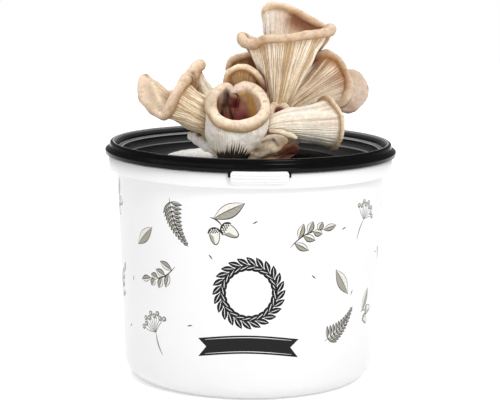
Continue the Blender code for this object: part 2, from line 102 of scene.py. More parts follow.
# How fine the meshes are: points around each part and across a gill, and rings over each zone
TURNED_SIDES = 240
TRUNK_SIDES = 160
BUD_SIDES = 48
ROD_RINGS = 40
GILL_STEPS = 6
STEM_RINGS = 7
GILL_RINGS = 30
LIP_RINGS = 14
CURVE_STEPS = 24
EVEN_TURNS = np.arange(TURNED_SIDES) * 2 * math.pi / TURNED_SIDES

# Turned parts have a sharp edge where their faces meet at this angle or more
CREASE = math.radians(40)

# Gills in millimetres, and how many waves make up their streaks and their wobble
GILL_SPACING = 1.6
GILL_DEPTH = 0.5
STREAK_WAVES = 12
WOBBLE_WAVES = 10

# Where the arc of a lip ends, in degrees: on a cap and on a funnel
CAP_LIP_END = 130
FUNNEL_LIP_END = 145

# Painted shade: flesh is painted darker and redder where rays from just above it soon meet other flesh
CREVICE_SHADE = np.array([0.34, 0.17, 0.09])
CREVICE_REACH = 16.0
CREVICE_RAYS = 14
CREVICE_START = 0.9

# Painted shade: how much darker and browner a lip is painted on its underside
LIP_SHADE = np.array([0.68, 0.55, 0.40])

# Camera and studio: places in metres, the lens and its sensor in millimetres
CAMERA_PLACE = (0, -1.375, 0.3588)
CAMERA_TILT = math.pi / 2 - 0.1598
CAMERA_ROLL = 0.01196
CAMERA_LENS = 127.87
CAMERA_SENSOR = 36.0
FLOOR_HALF = 3.0
WORLD_DIFFUSE = 0.70
HORIZON_GLOSSY = 0.25
ZENITH_GLOSSY = 0.08
HORIZON_TOP = 0.3
FLOOR_GLOW = 0.25
SUN_STRENGTH = 1.6
SUN_SPREAD = math.radians(50)

# Colours
CREAM = (0.93, 0.82, 0.65)
PALE = (0.97, 0.90, 0.78)
TAN = (0.66, 0.49, 0.34)
PINK_TAN = (0.58, 0.44, 0.33)
ORANGE_BROWN = (0.42, 0.20, 0.07)
GOLDEN = (0.62, 0.36, 0.08)
MAROON = (0.12, 0.018, 0.014)
WINE = (0.17, 0.024, 0.032)
# Near-black of the painted shade at the front cup's foot
FOOT_SHADE_BLACK = (0.015, 0.010, 0.009)
BARK = (0.50, 0.36, 0.24)
UMBER = (0.16, 0.07, 0.04)
PITCH = (0.006, 0.003, 0.003)
FELT = (0.84, 0.84, 0.82)
CRUMBS = (0.012, 0.008, 0.006)
TRUNK_PALE = (0.82, 0.76, 0.66)
TRUNK_DARK = (0.10, 0.05, 0.03)
LID_BLACK = (0.004, 0.004, 0.0045)
# Grey of the lid's painted highlights
LID_HIGHLIGHT_GREY = (0.50, 0.50, 0.51)

# The lid is matt inside a radius and glossier outside it
LID_MATT_RADIUS = 97.5
LID_MATT_ROUGHNESS = 0.4
LID_GLOSS_ROUGHNESS = 0.18

# Edges of the lid painted lighter as painted highlights: radius, height and strength
LID_EDGE_WIDTH = 0.5
LID_BRIGHT_EDGES = [
    (LID_RADIUS - 6.4, LID_TOP, 1.8), (LID_RADIUS - 7.8, LID_TOP - 0.8, 0.6), (*LID_LEDGES[1], 0.6),
    (*LID_LEDGES[2], 0.9), (*LID_LEDGES[4], 0.7), (OPENING_RADIUS, TRAY_FLOOR, 0.25),
]

# Painted shade: how light the bucket is painted in the corner under its collar, and darker lines of
# painted shade across its tab
COLLAR_SHADE = 0.72
TAB_LINES = (0.12, 0.36, 0.60)
TAB_LINE_WIDTH = 0.035
TAB_LINE_DEPTH = 0.3

# Tones of the print on the wall, as shares of the wall's own white
WASH = (0.90, 0.88, 0.82)
SHADE = (0.42, 0.395, 0.33)
LINE = (0.035, 0.031, 0.026)
CHARCOAL = (0.010, 0.010, 0.011)
BARE = (1.0, 1.0, 1.0)

# The printed band is laid out flat: u runs around the wall to the right of the front, v is the height
PRINT_RADIUS = 101.0
PRINT_LOW = 20.0
PRINT_HIGH = 162.0
WREATH_PLACE = (0.0, 84.0)
WREATH_RADIUS = 21.0
RIBBON_PLACE = (0.0, 41.0)

# Motif, place on the band, turn in degrees and size
PRINT_MOTIFS = [
    ("fern", (-62, 152), -66, 1.15), ("acorns", (-20, 134), -20, 1.3), ("sprig", (30, 118), 24, 1.2),
    ("seed_head", (92, 118), 62, 1.1), ("leaf", (-98, 112), 40, 1), ("sprig", (-58, 100), 205, 1.15),
    ("seed_head", (-72, 30), 112, 1.2), ("leaf", (70, 98), -55, 1.05), ("fern", (62, 44), 38, 1.1),
    ("acorns", (112, 60), 15, 0.95), ("sprig", (-138, 62), 70, 1), ("acorns", (-136, 140), 10, 1),
    ("sprig", (146, 148), -75, 1), ("leaf", (150, 88), 130, 1), ("fern", (-196, 128), -30, 1),
    ("seed_head", (-206, 48), 60, 1), ("acorns", (196, 122), -35, 1), ("fern", (182, 38), 55, 1),
    ("sprig", (-272, 96), 35, 1), ("leaf", (-248, 38), 75, 1), ("seed_head", (240, 82), 95, 1),
    ("sprig", (262, 150), -60, 0.95), ("leaf", (268, 46), 20, 1), ("acorns", (-300, 146), -10, 0.95),
]
PRINT_DASHES = [
    (-108, 82, 70), (-30, 112, -50), (2, 136, 30), (74, 128, 20), (48, 96, -40), (-48, 56, 15),
    (88, 76, 60), (126, 104, -20), (-118, 44, 35), (-164, 100, 80), (168, 66, 10), (-230, 80, 50),
    (216, 54, -60), (228, 130, 25), (-250, 140, -15), (300, 100, 65),
]


@dataclass
class StainAndPaintedLight:
    """A soft spot of colour around a place in space, or a streak of it from there to an end. Some are
    real stains, and others are painted shade and painted highlights.
    """

    place: tuple
    size: float
    colour: tuple
    strength: float = 0.8
    end: tuple = None


@dataclass
class Fruit:
    """One fruiting body. Its stem runs from root to neck, and its gills run from neck to rim.

    A rim point may have a fourth number, the radius of the rolled lip there. A funnel's inner
    surface goes down to the share hollow of the way from neck to rim. A cap with a dome has a
    closed upper surface that rises by that much in the middle. The gills end under the lip, in by
    the share tuck of its radius, and the lip's arc begins at the angle lip_start in degrees. Its
    gills stand spacing millimetres apart at the rim, and relief scales their height.
    """

    name: str
    root: tuple
    neck: tuple
    rim: list
    stem_radii: tuple = (8.0, 6.5)
    lip: float = 3.0
    flare: float = 0.3
    belly: float = 0.0
    flesh: float = 2.7
    hollow: float = 0.4
    dome: float = 0.0
    tuck: float = 0.5
    lip_start: float = -75.0
    spacing: float = GILL_SPACING
    relief: float = 1.0
    top_rings: int = 14
    gill_low: tuple = CREAM
    gill_high: tuple = PALE
    lines: tuple = TAN
    line_strength: float = 0.65
    # How strongly shade is painted under the lip
    under_lip_shade: float = 0.5
    lip_colour: tuple = PINK_TAN
    inside: tuple = GOLDEN
    # The painted shade at the bottom of a funnel's hollow
    deep: tuple = MAROON
    cap: tuple = (0.60, 0.45, 0.34)
    # Painted shade at the stem's foot: its colour, and how far its dark streaks reach up the gills
    foot: tuple = CREAM
    foot_reach: float = 0.0
    # Real stains, painted shade and painted highlights
    stains_and_painted_light: list = field(default_factory=list)


FRUITS = [
    Fruit(
        "mushroom_front_cup", root=(-13, -28, 166), neck=(-13, -31, 180),
        rim=[
            (-29.8, -43.3, 212), (-29.6, -37, 219.5), (-24.6, -30, 225.3), (-18.6, -28, 227.3),
            (-13.5, -31, 224.5, 3.6), (-8.5, -27.5, 227.6), (-2.7, -26, 228.4), (4.6, -30.3, 224),
            (9.8, -37.8, 217.6), (10, -46, 211), (5, -53.5, 205.6), (-6, -57.8, 202.3),
            (-17, -56.8, 202.8), (-25.6, -51.4, 206.6),
        ],
        stem_radii=(10.0, 14.5), lip=4.6, flare=-0.35, belly=9.0, flesh=5.0, hollow=0.25, tuck=-0.5,
        lip_start=-45.0, lip_colour=(0.78, 0.65, 0.51), inside=(0.78, 0.55, 0.30), deep=WINE,
        gill_low=PALE, gill_high=(1.0, 0.95, 0.87), line_strength=0.2, lines=BARK, foot=FOOT_SHADE_BLACK,
        foot_reach=0.45, relief=0.5, top_rings=40, under_lip_shade=0.15,
        stains_and_painted_light=[
            # Painted shade: darker on the lip's left, a wine-red hollow and a dark brown streak at its
            # left
            StainAndPaintedLight((-29, -45, 216), 5.0, (0.42, 0.33, 0.22), 0.75, (-29, -38, 222)),
            StainAndPaintedLight((-12, -28, 216), 12.0, WINE, 1.0),
            StainAndPaintedLight((-25.5, -29, 217), 3.2, (0.20, 0.06, 0.03), 0.95, (-25, -29, 206)),
            StainAndPaintedLight((-11, -30, 223), 2.6, GOLDEN, 0.9, (-3, -26, 221)),
            StainAndPaintedLight((0, -27, 221), 3.2, GOLDEN, 0.95, (2.5, -27, 207)),
            StainAndPaintedLight((-8, -28, 226.5), 2.2, (0.88, 0.72, 0.52), 0.9, (2, -30, 224)),
            StainAndPaintedLight((5, -31, 221), 2.8, (0.85, 0.68, 0.46), 0.9, (6.5, -33, 210)),
            # Painted shade: near-black streaks down the crease in the hollow
            StainAndPaintedLight((-17.7, -31.5, 225.5), 2.4, PITCH, 1.0, (-21, -27, 214)),
            StainAndPaintedLight((-21, -27, 214), 2.0, PITCH, 1.0, (-22.5, -26, 204)),
            StainAndPaintedLight((-17.7, -27, 217), 1.3, PITCH, 1.0, (-14, -25.7, 204)),
        ],
    ),
    Fruit(
        "mushroom_right_low", root=(2, -24, 174), neck=(14, -28, 197),
        rim=[
            (58, -21, 220), (63, -31, 216), (68, -39, 209), (69, -42, 198), (67, -39, 189),
            (63, -29, 182), (58, -10, 183), (53, 2, 193), (51, 1, 206), (53, -8, 216),
        ],
        stem_radii=(9.0, 8.5), lip=2.2, flare=0.05, belly=1.5, hollow=0.45, gill_low=(0.97, 0.92, 0.80),
        gill_high=(0.98, 0.93, 0.83), lines=BARK, lip_colour=(0.76, 0.65, 0.51), under_lip_shade=0.25,
        line_strength=0.55,
        # Painted shade along the underside
        stains_and_painted_light=[StainAndPaintedLight((30, -33, 187), 6.0, (0.40, 0.35, 0.26), 0.85, (62, -30, 183))],
    ),
    Fruit(
        "mushroom_left_low", root=(-13, -14, 172), neck=(-31, -19, 200),
        rim=[
            (-49, -29, 235, 4.6), (-53, -35, 229, 3.8), (-58, -39, 221, 4.2), (-62, -39, 212, 3.8),
            (-66, -35, 206, 2.4), (-74, -23, 209.5, 4), (-81, -12, 217, 4.7), (-84, -3, 225, 4.8),
            (-83, 3, 230.5, 4.7), (-79, 7, 227.5, 4.2), (-77, 10, 221, 3.2), (-69, 14, 218.5),
            (-59, 13, 218.5), (-50, 6, 220), (-46.5, -6, 224.5), (-47, -18, 231, 4),
        ],
        stem_radii=(10.0, 12.0), flare=0.0, belly=7.0, hollow=0.45, spacing=2.2,
        gill_low=(0.88, 0.76, 0.58), gill_high=(0.90, 0.79, 0.62), lines=(0.50, 0.32, 0.15),
        lip_colour=(0.68, 0.53, 0.40), inside=(0.74, 0.62, 0.46), deep=(0.45, 0.30, 0.18),
        line_strength=0.95,
        stains_and_painted_light=[
            # Painted shade on the far lobe
            StainAndPaintedLight((-80, -6, 225), 5.5, (0.46, 0.37, 0.27), 0.8, (-74, -24, 211)),
            # Painted highlight along the far lobe's ridge
            StainAndPaintedLight((-77.5, 0, 232), 1.3, (0.88, 0.76, 0.60), 0.9, (-70.5, -12, 216)),
            # Painted shadow where the lip meets left_high, on the gills underneath and along the lip's
            # lower edge
            StainAndPaintedLight((-45, -31, 236), 1.8, UMBER, 0.85, (-44.5, -29, 230)),
            StainAndPaintedLight((-57, -30, 198), 4.5, (0.34, 0.27, 0.16), 0.75, (-36, -26, 189)),
            StainAndPaintedLight((-56, -32, 222), 2.2, (0.20, 0.06, 0.03), 0.75, (-65, -34, 203)),
            # A dark brown spot on the gills
            StainAndPaintedLight((-57, -32, 202), 2.2, (0.14, 0.06, 0.035), 0.9),
            # Painted shade at the junction with left_high
            StainAndPaintedLight((-46, -27, 231), 2.5, (0.25, 0.12, 0.06), 0.7),
        ],
    ),
    Fruit(
        "mushroom_tall_front", root=(9, -2, 180), neck=(20, -1, 210),
        rim=[
            (3, -24.5, 260.5, 3.8), (8, -30, 264.5), (19, -34, 266), (31, -35, 267),
            (43, -32, 269), (53, -26, 270), (60, -14, 271, 4.0), (60, 0, 272, 3.6), (54, 8, 267),
            (38, 10, 261), (20, 8, 260), (6, 3, 260), (-1, -2, 262, 4), (-7, -8.5, 265, 4.4),
            (-6, -15, 262.5, 4.2), (-1.5, -19.5, 260.8, 4),
        ],
        stem_radii=(9.0, 8.5), lip=3.5, flare=0.05, belly=2.0, lines=(0.50, 0.31, 0.14),
        line_strength=1.3, spacing=2.0, lip_colour=(0.63, 0.48, 0.36), under_lip_shade=0.45,
        inside=(0.55, 0.40, 0.28), deep=(0.30, 0.16, 0.09),
        stains_and_painted_light=[
            # Painted shadow under tall_back's front
            StainAndPaintedLight((8, -33, 266), 3.0, (0.40, 0.26, 0.11), 0.75),
            # A broad tan streak over the gills
            StainAndPaintedLight((24, -34, 252), 13.0, (0.66, 0.50, 0.31), 0.4, (22, -18, 222)),
        ],
    ),
    Fruit(
        "mushroom_back_small", root=(-6, 0, 184), neck=(-6, -5, 210),
        rim=[
            (-19, -10, 229), (-18, -14, 237), (-12, -17, 242), (-5, -17, 243), (2, -16, 239),
            (7, -13, 232), (9, -9, 224), (3, 0, 223), (-7, 4, 228), (-15, 0, 228),
        ],
        stem_radii=(7.0, 6.5), lip=2.6, dome=4.0, gill_low=(0.97, 0.89, 0.74),
        # Painted shade: the gills turn brown towards the rim and darker under the lip, and a maroon
        # spot shades near its right rim
        gill_high=(0.66, 0.46, 0.25), lines=(0.40, 0.22, 0.10), under_lip_shade=0.9,
        lip_colour=(0.84, 0.70, 0.54), stains_and_painted_light=[StainAndPaintedLight((10, -12, 226), 9.0, MAROON, 0.95)],
    ),
    Fruit(
        "mushroom_right_fan", root=(13, 6, 176), neck=(30, 12, 207),
        rim=[
            (46, 20, 246), (52, 22, 249), (60, 23, 250), (68, 21, 246), (73, 17, 239),
            (76, 13, 231), (76, 10, 223), (73, 7, 217), (67, 9, 212), (56, 18, 210),
            (46, 28, 217), (41, 32, 229), (42, 28, 240),
        ],
        lip=3.1, flare=0.2, dome=5.0, gill_low=(0.84, 0.71, 0.55), gill_high=(0.86, 0.74, 0.58),
        lines=(0.34, 0.18, 0.08), line_strength=1.0, spacing=2.5, under_lip_shade=0.8,
        lip_colour=(0.64, 0.50, 0.38),
        stains_and_painted_light=[
            # Painted shade where the lip curls at the top and where it turns at the right
            StainAndPaintedLight((49, 18, 246), 6.0, MAROON, 0.95),
            StainAndPaintedLight((66, 8, 232), 8.0, (0.28, 0.09, 0.04), 0.7),
            # A lighter patch low on the gills
            StainAndPaintedLight((62, 8, 218), 11.0, (0.84, 0.75, 0.62), 0.8),
        ],
    ),
    Fruit(
        "mushroom_left_high", root=(-13, -4, 174), neck=(-29, 2, 205),
        rim=[
            (-40.5, -1, 242, 5), (-43.5, -4, 239.5, 5.4), (-44.5, -5, 233.5, 5.2),
            (-45, -3, 226.5, 4), (-49, 4, 223), (-52, 11, 229), (-48, 14, 236), (-42, 9, 241),
        ],
        stem_radii=(7.5, 8.0), flare=0.0, belly=1.0, hollow=0.5, gill_low=(0.98, 0.91, 0.77),
        gill_high=(0.97, 0.88, 0.72), lines=(0.80, 0.58, 0.34), line_strength=0.4,
        lip_colour=(0.80, 0.65, 0.50),
        stains_and_painted_light=[
            # Painted shadow where left_low's lip passes in front
            StainAndPaintedLight((-45, -9.5, 237), 1.8, UMBER, 0.9, (-43.5, -9, 229)),
            # Painted highlight on the gills
            StainAndPaintedLight((-36, -2, 229), 5.0, (0.99, 0.94, 0.84), 0.8, (-30, -3, 219)),
        ],
    ),
    Fruit(
        "mushroom_tall_back", root=(4, 15, 170), neck=(18, 19, 216),
        rim=[
            (11, 17, 266, 1.6), (9.5, 15.5, 276, 1.8), (9.5, 13.5, 284, 2.6), (13, 13.5, 287.8, 3.0),
            (22, 15, 287.8, 3.3), (32, 16.5, 284.3, 3.4), (42, 17, 279, 3.3), (52, 16, 274, 3.0),
            (59, 15, 270.5), (58, 22, 262), (46, 28, 248), (30, 31, 241), (17, 25, 250),
        ],
        stem_radii=(8.0, 7.0), lip=2.6, flare=0.05, dome=5.0, gill_low=(0.98, 0.92, 0.82),
        gill_high=(0.98, 0.95, 0.90), line_strength=0.45, lines=(0.74, 0.54, 0.34),
        lip_colour=(0.78, 0.64, 0.50), under_lip_shade=0.1,
        stains_and_painted_light=[
            StainAndPaintedLight((12, 12, 286), 2.5, (0.86, 0.73, 0.58), 0.85, (50, 14, 273.5)),
            # Painted highlight: a near-white streak down the left edge
            StainAndPaintedLight((9.5, 13.5, 280), 2.2, (0.94, 0.89, 0.81), 0.85, (11, 16, 262)),
            # Painted shade under the lip at the right
            StainAndPaintedLight((32, 17, 276), 9.0, (0.50, 0.26, 0.10), 0.8, (52, 16, 266)),
            StainAndPaintedLight((33, 17, 278), 5.0, (0.24, 0.07, 0.035), 0.85, (48, 16, 269)),
        ],
    ),
    Fruit(
        "mushroom_right_rear", root=(16, 14, 170), neck=(60, 33, 205),
        rim=[
            (72, 21, 232), (77, 22, 236), (83, 21, 235), (88, 19, 229), (90, 16, 222),
            (88, 13, 216), (83, 10, 211), (79, 8, 208), (74, 8, 208), (69, 12, 210),
            (67, 17, 216), (68, 21, 225),
        ],
        stem_radii=(7.0, 5.5), lip=2.4, flare=0.2, dome=6.0, line_strength=0.25,
        lip_colour=(0.54, 0.42, 0.34), cap=(0.56, 0.44, 0.35),
        # Painted shade at the cap's low edge
        stains_and_painted_light=[StainAndPaintedLight((79, 7, 208), 5.0, (0.30, 0.22, 0.15), 0.8)],
    ),
    Fruit(
        "mushroom_back_far", root=(-6, 12, 170), neck=(-5, 18, 214),
        rim=[
            (-18, 10, 240), (-15, 8, 246), (-8, 7, 249), (0, 9, 250), (6, 13, 246),
            (8, 19, 238), (3, 26, 233), (-9, 27, 232), (-16, 20, 234),
        ],
        # Painted shade: the gills turn dark brown towards the rim and under the lip, and a maroon spot
        # shades the front
        stem_radii=(7.0, 6.0), lip=2.6, dome=4.0, gill_high=(0.45, 0.25, 0.12), under_lip_shade=0.9,
        lip_colour=(0.76, 0.59, 0.43), stains_and_painted_light=[StainAndPaintedLight((6, 8, 245), 7.0, MAROON, 0.9)],
    ),
    Fruit(
        "bud_middle", root=(15, -14, 190), neck=(20, -13, 203),
        rim=[
            (15, -15, 211), (17, -11, 214), (22, -9, 215), (27, -10, 213), (29, -13, 210),
            (26, -19, 207), (21, -22, 206), (16, -19, 207),
        ],
        stem_radii=(3.0, 4.0), lip=1.6, flesh=1.6, lip_colour=(0.78, 0.65, 0.50),
        inside=(0.30, 0.10, 0.05), stains_and_painted_light=[StainAndPaintedLight((22, -20, 203), 5.0, (0.34, 0.15, 0.06), 0.85)],
    ),
    Fruit(
        "bud_front", root=(0, -36, 173), neck=(4, -40, 178),
        rim=[
            (1, -46, 182), (6, -46, 188), (12, -45, 192), (20, -44, 193), (26, -43, 191),
            (25, -45, 187), (19, -49, 183.5), (12, -52, 181.5), (5, -51, 180),
        ],
        stem_radii=(4.0, 4.0), lip=2.0, dome=2.0, line_strength=0.2, lip_colour=(0.66, 0.56, 0.43),
        cap=(0.66, 0.56, 0.43), gill_high=(0.62, 0.52, 0.40),
        stains_and_painted_light=[
            # Painted shade at the right end
            StainAndPaintedLight((25, -46, 187), 7.0, (0.24, 0.15, 0.07), 0.85),
            StainAndPaintedLight((5, -50, 183), 4.0, (0.13, 0.09, 0.06), 0.9, (14, -52, 181)),
            # Painted shade in the crease under bud_finger
            StainAndPaintedLight((9, -47.5, 189), 1.5, (0.10, 0.04, 0.03), 0.9, (17, -47, 191)),
            StainAndPaintedLight((17, -47, 191), 1.2, (0.10, 0.04, 0.03), 0.9, (21, -49, 187)),
        ],
    ),
    Fruit(
        "bud_brown", root=(12, -34, 172), neck=(17, -38, 174),
        rim=[
            (10, -47, 177), (16, -48, 180), (24, -47, 184), (31, -45, 187), (36, -41, 184),
            (33, -39, 179), (25, -45, 176), (16, -50, 175),
        ],
        stem_radii=(3.0, 3.0), lip=1.2, dome=1.5, gill_low=(0.09, 0.035, 0.022),
        gill_high=(0.12, 0.045, 0.028), lines=(0.05, 0.015, 0.012), lip_colour=(0.16, 0.065, 0.04),
        cap=(0.11, 0.035, 0.022), stains_and_painted_light=[StainAndPaintedLight((13, -49, 177), 5.0, (0.60, 0.42, 0.26), 0.9)],
    ),
]

# The slender buds: places along each, radii there, how lumpy it is and its colour
FINGERS = {
    "bud_finger": (
        [(14, -37, 196), (22, -40, 196), (30, -43, 194), (35, -46, 192)],
        [2.0, 2.3, 2.1, 1.3], 0.2, (0.86, 0.74, 0.57),
    ),
    "bud_left": (
        [(-19, -25, 177), (-30, -23, 181), (-40, -18, 186.5), (-48, -14, 191)],
        [4.6, 4.6, 4.2, 3.2], 0.9, (0.97, 0.95, 0.92),
    ),
}


def unit(vectors):
    """The same directions at length one."""
    length = np.linalg.norm(vectors, axis=-1, keepdims=True)
    return vectors / np.maximum(length, 1e-9)


def full_turn(count):
    """Angles spread evenly around a circle."""
    return np.linspace(0, 2 * math.pi, count, endpoint=False)


def smooth_step(values, low, high):
    """0 below low, 1 above high, and a soft change between them."""
    share = np.clip((values - low) / (high - low), 0, 1)
    return share * share * (3 - 2 * share)


def mix(first, second, share):
    """Blends two colours, or arrays of them, by a share from 0 to 1."""
    share = np.asarray(share, float)[..., None]
    return np.asarray(first) * (1 - share) + np.asarray(second) * share


def waves(points, size, seed, count=9):
    """Soft seeded unevenness over space, about from -1 to 1, with lumps of the given size."""
    rng = np.random.default_rng(seed)
    total = np.zeros(points.shape[:-1])
    for _ in range(count):
        direction = unit(rng.normal(size=3)) * 2 * math.pi / (size * rng.uniform(0.7, 1.8))
        total += np.sin(points @ direction + rng.uniform(0, 2 * math.pi))
    return total / math.sqrt(count)


def closed_curve(points):
    """Rows along a smooth closed curve through the given rows of numbers, and the length up to each."""
    knots = np.array(points, float)
    before = np.roll(knots, 1, axis=0)
    after = np.roll(knots, -1, axis=0)
    beyond = np.roll(knots, -2, axis=0)
    steps = np.linspace(0, 1, CURVE_STEPS, endpoint=False)[None, :, None]
    lean_start = (after - before)[:, None] / 2
    lean_end = (beyond - knots)[:, None] / 2
    curve = (
        knots[:, None] * (2 * steps**3 - 3 * steps**2 + 1)
        + lean_start * (steps**3 - 2 * steps**2 + steps)
        + after[:, None] * (3 * steps**2 - 2 * steps**3)
        + lean_end * (steps**3 - steps**2)
    ).reshape(-1, knots.shape[1])
    curve = np.vstack([curve, curve[:1]])
    steps = np.linalg.norm(np.diff(curve[:, :3], axis=0), axis=1)
    return curve, np.concatenate([[0], np.cumsum(steps)])


def ring_directions(rim, centre, axis):
    """Directions across the axis, evenly spread and each as near as can be to its rim point."""
    first = unit(np.cross(axis, (0.3, 1.0, 0.2)))
    second = np.cross(axis, first)
    out = rim - centre
    angles = np.unwrap(np.arctan2(out @ second, out @ first))
    turn = math.copysign(2 * math.pi, angles[-1] - angles[0])
    even = np.linspace(0, turn, len(rim), endpoint=False)
    even = even + np.mean(angles - even)
    return np.cos(even)[:, None] * first + np.sin(even)[:, None] * second


def bezier(a, b, c, d, t):
    """A point of a cubic curve, for whole rings of control points at once."""
    s = 1 - t
    return s**3 * a + 3 * s**2 * t * b + 3 * s * t**2 * c + t**3 * d


def fruit_rings(fruit, rim, lip):
    """Rings of points from the stem's foot to the cap's middle, with each ring's zone and share.

    They follow the rim's points and the lip's radius at each. The zones 0 to 3 are stem, gills, lip
    and top, and the share runs from 0 to 1 through each zone.
    """
    centre = rim.mean(axis=0)
    root = np.array(fruit.root, float)
    neck = np.array(fruit.neck, float)
    axis = unit(unit(neck - root) + unit(centre - neck))
    across = ring_directions(rim, centre, axis)
    root_radius, neck_radius = fruit.stem_radii
    neck_ring = neck + across * neck_radius

    rise = np.linalg.norm(rim - neck_ring, axis=1, keepdims=True)
    outward = unit(rim - centre)
    along = unit(np.roll(rim, -1, axis=0) - np.roll(rim, 1, axis=0))
    facing = unit(np.cross(along, outward).sum(axis=0))
    facing = facing * np.sign(facing @ (centre - neck))
    lean = unit(unit(rim - neck_ring) + fruit.flare * outward)
    arrive = lean + facing * 0.6
    arrive = unit(arrive - along * np.sum(arrive * along, axis=1, keepdims=True))
    side = unit(np.cross(along, arrive))
    side = side * np.sign(np.sum(side * outward))
    end = rim - side * lip * fruit.tuck - arrive * lip * 0.8
    lower = neck_ring + axis * rise * 0.2 + across * fruit.belly
    upper = end - lean * rise * 0.35

    rings = []
    zones = []
    for t in np.linspace(0, 1, STEM_RINGS, endpoint=False):
        middle = bezier(root, root + (neck - root) * 0.4, neck - axis * rise.mean() * 0.1, neck, t)
        rings.append(middle + across * (root_radius + (neck_radius - root_radius) * t))
        zones.append((0, t))
    for t in np.linspace(0, 1, GILL_RINGS):
        rings.append(bezier(neck_ring, lower, upper, end, t))
        zones.append((1, t))
    last_angle = CAP_LIP_END if fruit.dome else FUNNEL_LIP_END
    for angle in np.linspace(fruit.lip_start, last_angle, LIP_RINGS):
        turn = math.radians(angle)
        rings.append(rim + lip * (side * math.cos(turn) + arrive * math.sin(turn)))
        zones.append((2, (angle - fruit.lip_start) / (last_angle - fruit.lip_start)))
    if fruit.dome:
        edge = rings[-1]
        for s in np.linspace(0, 1, fruit.top_rings + 1)[1:]:
            rise_here = fruit.dome * math.sin(s * math.pi / 2)
            rings.append(edge * (1 - s) + centre * s + facing * rise_here)
            zones.append((3, s))
    else:
        for s in np.linspace(0, 1, fruit.top_rings + 1):
            t = 1 - s * (1 - fruit.hollow)
            outer = bezier(neck_ring, lower, upper, end, t)
            below = bezier(neck_ring, lower, upper, end, t - 0.02)
            step = np.roll(outer, -1, axis=0) - np.roll(outer, 1, axis=0)
            normal = unit(np.cross(step, outer - below))
            normal = unit(np.roll(normal, 1, axis=0) + normal + np.roll(normal, -1, axis=0))
            middle = outer.mean(axis=0)
            normal = normal * np.sign(np.sum(normal * (outer - middle)))
            inner = outer - normal * fruit.flesh
            rings.append(middle + (inner - middle) * (1 - s**2.2))
            zones.append((3, s))
    return np.array(rings), np.array(zones)


def outward_normals(grid):
    """Normals of a closed grid of rings that point out of the body."""
    around = np.roll(grid, -1, axis=1) - np.roll(grid, 1, axis=1)
    normal = unit(np.cross(around, np.gradient(grid, axis=0)))
    middle = len(grid) // 6
    sign = np.sign(np.sum(normal[middle] * (grid[middle] - grid[middle].mean(axis=0))))
    return normal * sign


def gill_ridges(around, gills, share, seed):
    """Ridge heights from -1 to 1 over the gills, which fork on their way up from the stem."""
    rng = np.random.default_rng(seed)
    turns = np.arange(around) / around
    wobble = np.zeros(around)
    for _ in range(WOBBLE_WAVES):
        wobble += np.sin(2 * math.pi * (rng.integers(3, gills // 3 + 4) * turns + rng.random()))
    phase = gills * turns[None, :] + 0.14 * wobble[None, :]
    phase = phase + 0.25 * np.sin(share[:, None] * 7 + wobble[None, :])
    fine = np.cos(2 * math.pi * phase)
    middle = np.cos(math.pi * phase)
    coarse = np.cos(0.5 * math.pi * phase)
    first = smooth_step(share[:, None], 0.10, 0.35)
    second = smooth_step(share[:, None], 0.35, 0.70)
    return coarse * (1 - first) + (middle * (1 - second) + fine * second) * first


def streaks_along(around, share, low, high, seed):
    """Long streaks from 0 to 1 that run up the gills, with from low to high of them around."""
    rng = np.random.default_rng(seed)
    turns = np.arange(around) / around
    total = np.zeros((len(share), around))
    for _ in range(STREAK_WAVES):
        count = rng.integers(low, high + 1)
        drift = rng.uniform(-0.35, 0.35)
        total += np.sin(2 * math.pi * (count * turns[None, :] + drift * share[:, None] + rng.random()))
    return 0.5 + 0.5 * np.clip(total / math.sqrt(STREAK_WAVES), -1, 1)


def grid_quads(index):
    """The corners of the faces between rings of point numbers."""
    beside = np.roll(index, -1, axis=1)
    return np.stack([index[:-1], beside[:-1], beside[1:], index[1:]], axis=-1).reshape(-1, 4)


def tinted_mesh(name, points, faces, colours, domain="POINT"):
    """A smooth mesh from points in millimetres, with a tint at each point or at each face corner."""
    data = bpy.data.meshes.new(name)
    data.from_pydata((points * MM).tolist(), [], faces)
    tint = data.color_attributes.new("tint", "FLOAT_COLOR", domain)
    tint.data.foreach_set("color", colours.ravel())
    data.update()
    data.shade_smooth()
    return data


def capped_mesh(name, grid, colours):
    """A closed mesh from a grid of rings, with a colour at each point and its ends drawn shut."""
    points = np.vstack([grid.reshape(-1, 3), grid[0].mean(axis=0), grid[-1].mean(axis=0)])
    tints = np.vstack([colours.reshape(-1, 3), colours[0].mean(axis=0), colours[-1].mean(axis=0)])
    tints = np.hstack([np.clip(tints, 0, 1), np.ones((len(tints), 1))])
    low_tip = len(points) - 2
    index = np.arange(low_tip).reshape(grid.shape[:2])
    beside = np.roll(index, -1, axis=1)
    bottom = np.stack([index[0], np.full_like(index[0], low_tip), beside[0]], axis=-1)
    top = np.stack([index[-1], beside[-1], np.full_like(index[0], low_tip + 1)], axis=-1)
    faces = grid_quads(index).tolist() + bottom.tolist() + top.tolist()
    return tinted_mesh(name, points, faces, tints)


def ray_fan(count):
    """Directions spread over the half sphere around +Z, denser towards its middle."""
    turns = np.arange(count) * math.pi * (3 - math.sqrt(5))
    across = np.sqrt((np.arange(count) + 0.5) / count)
    return np.stack([across * np.cos(turns), across * np.sin(turns), np.sqrt(1 - across**2)], axis=1)


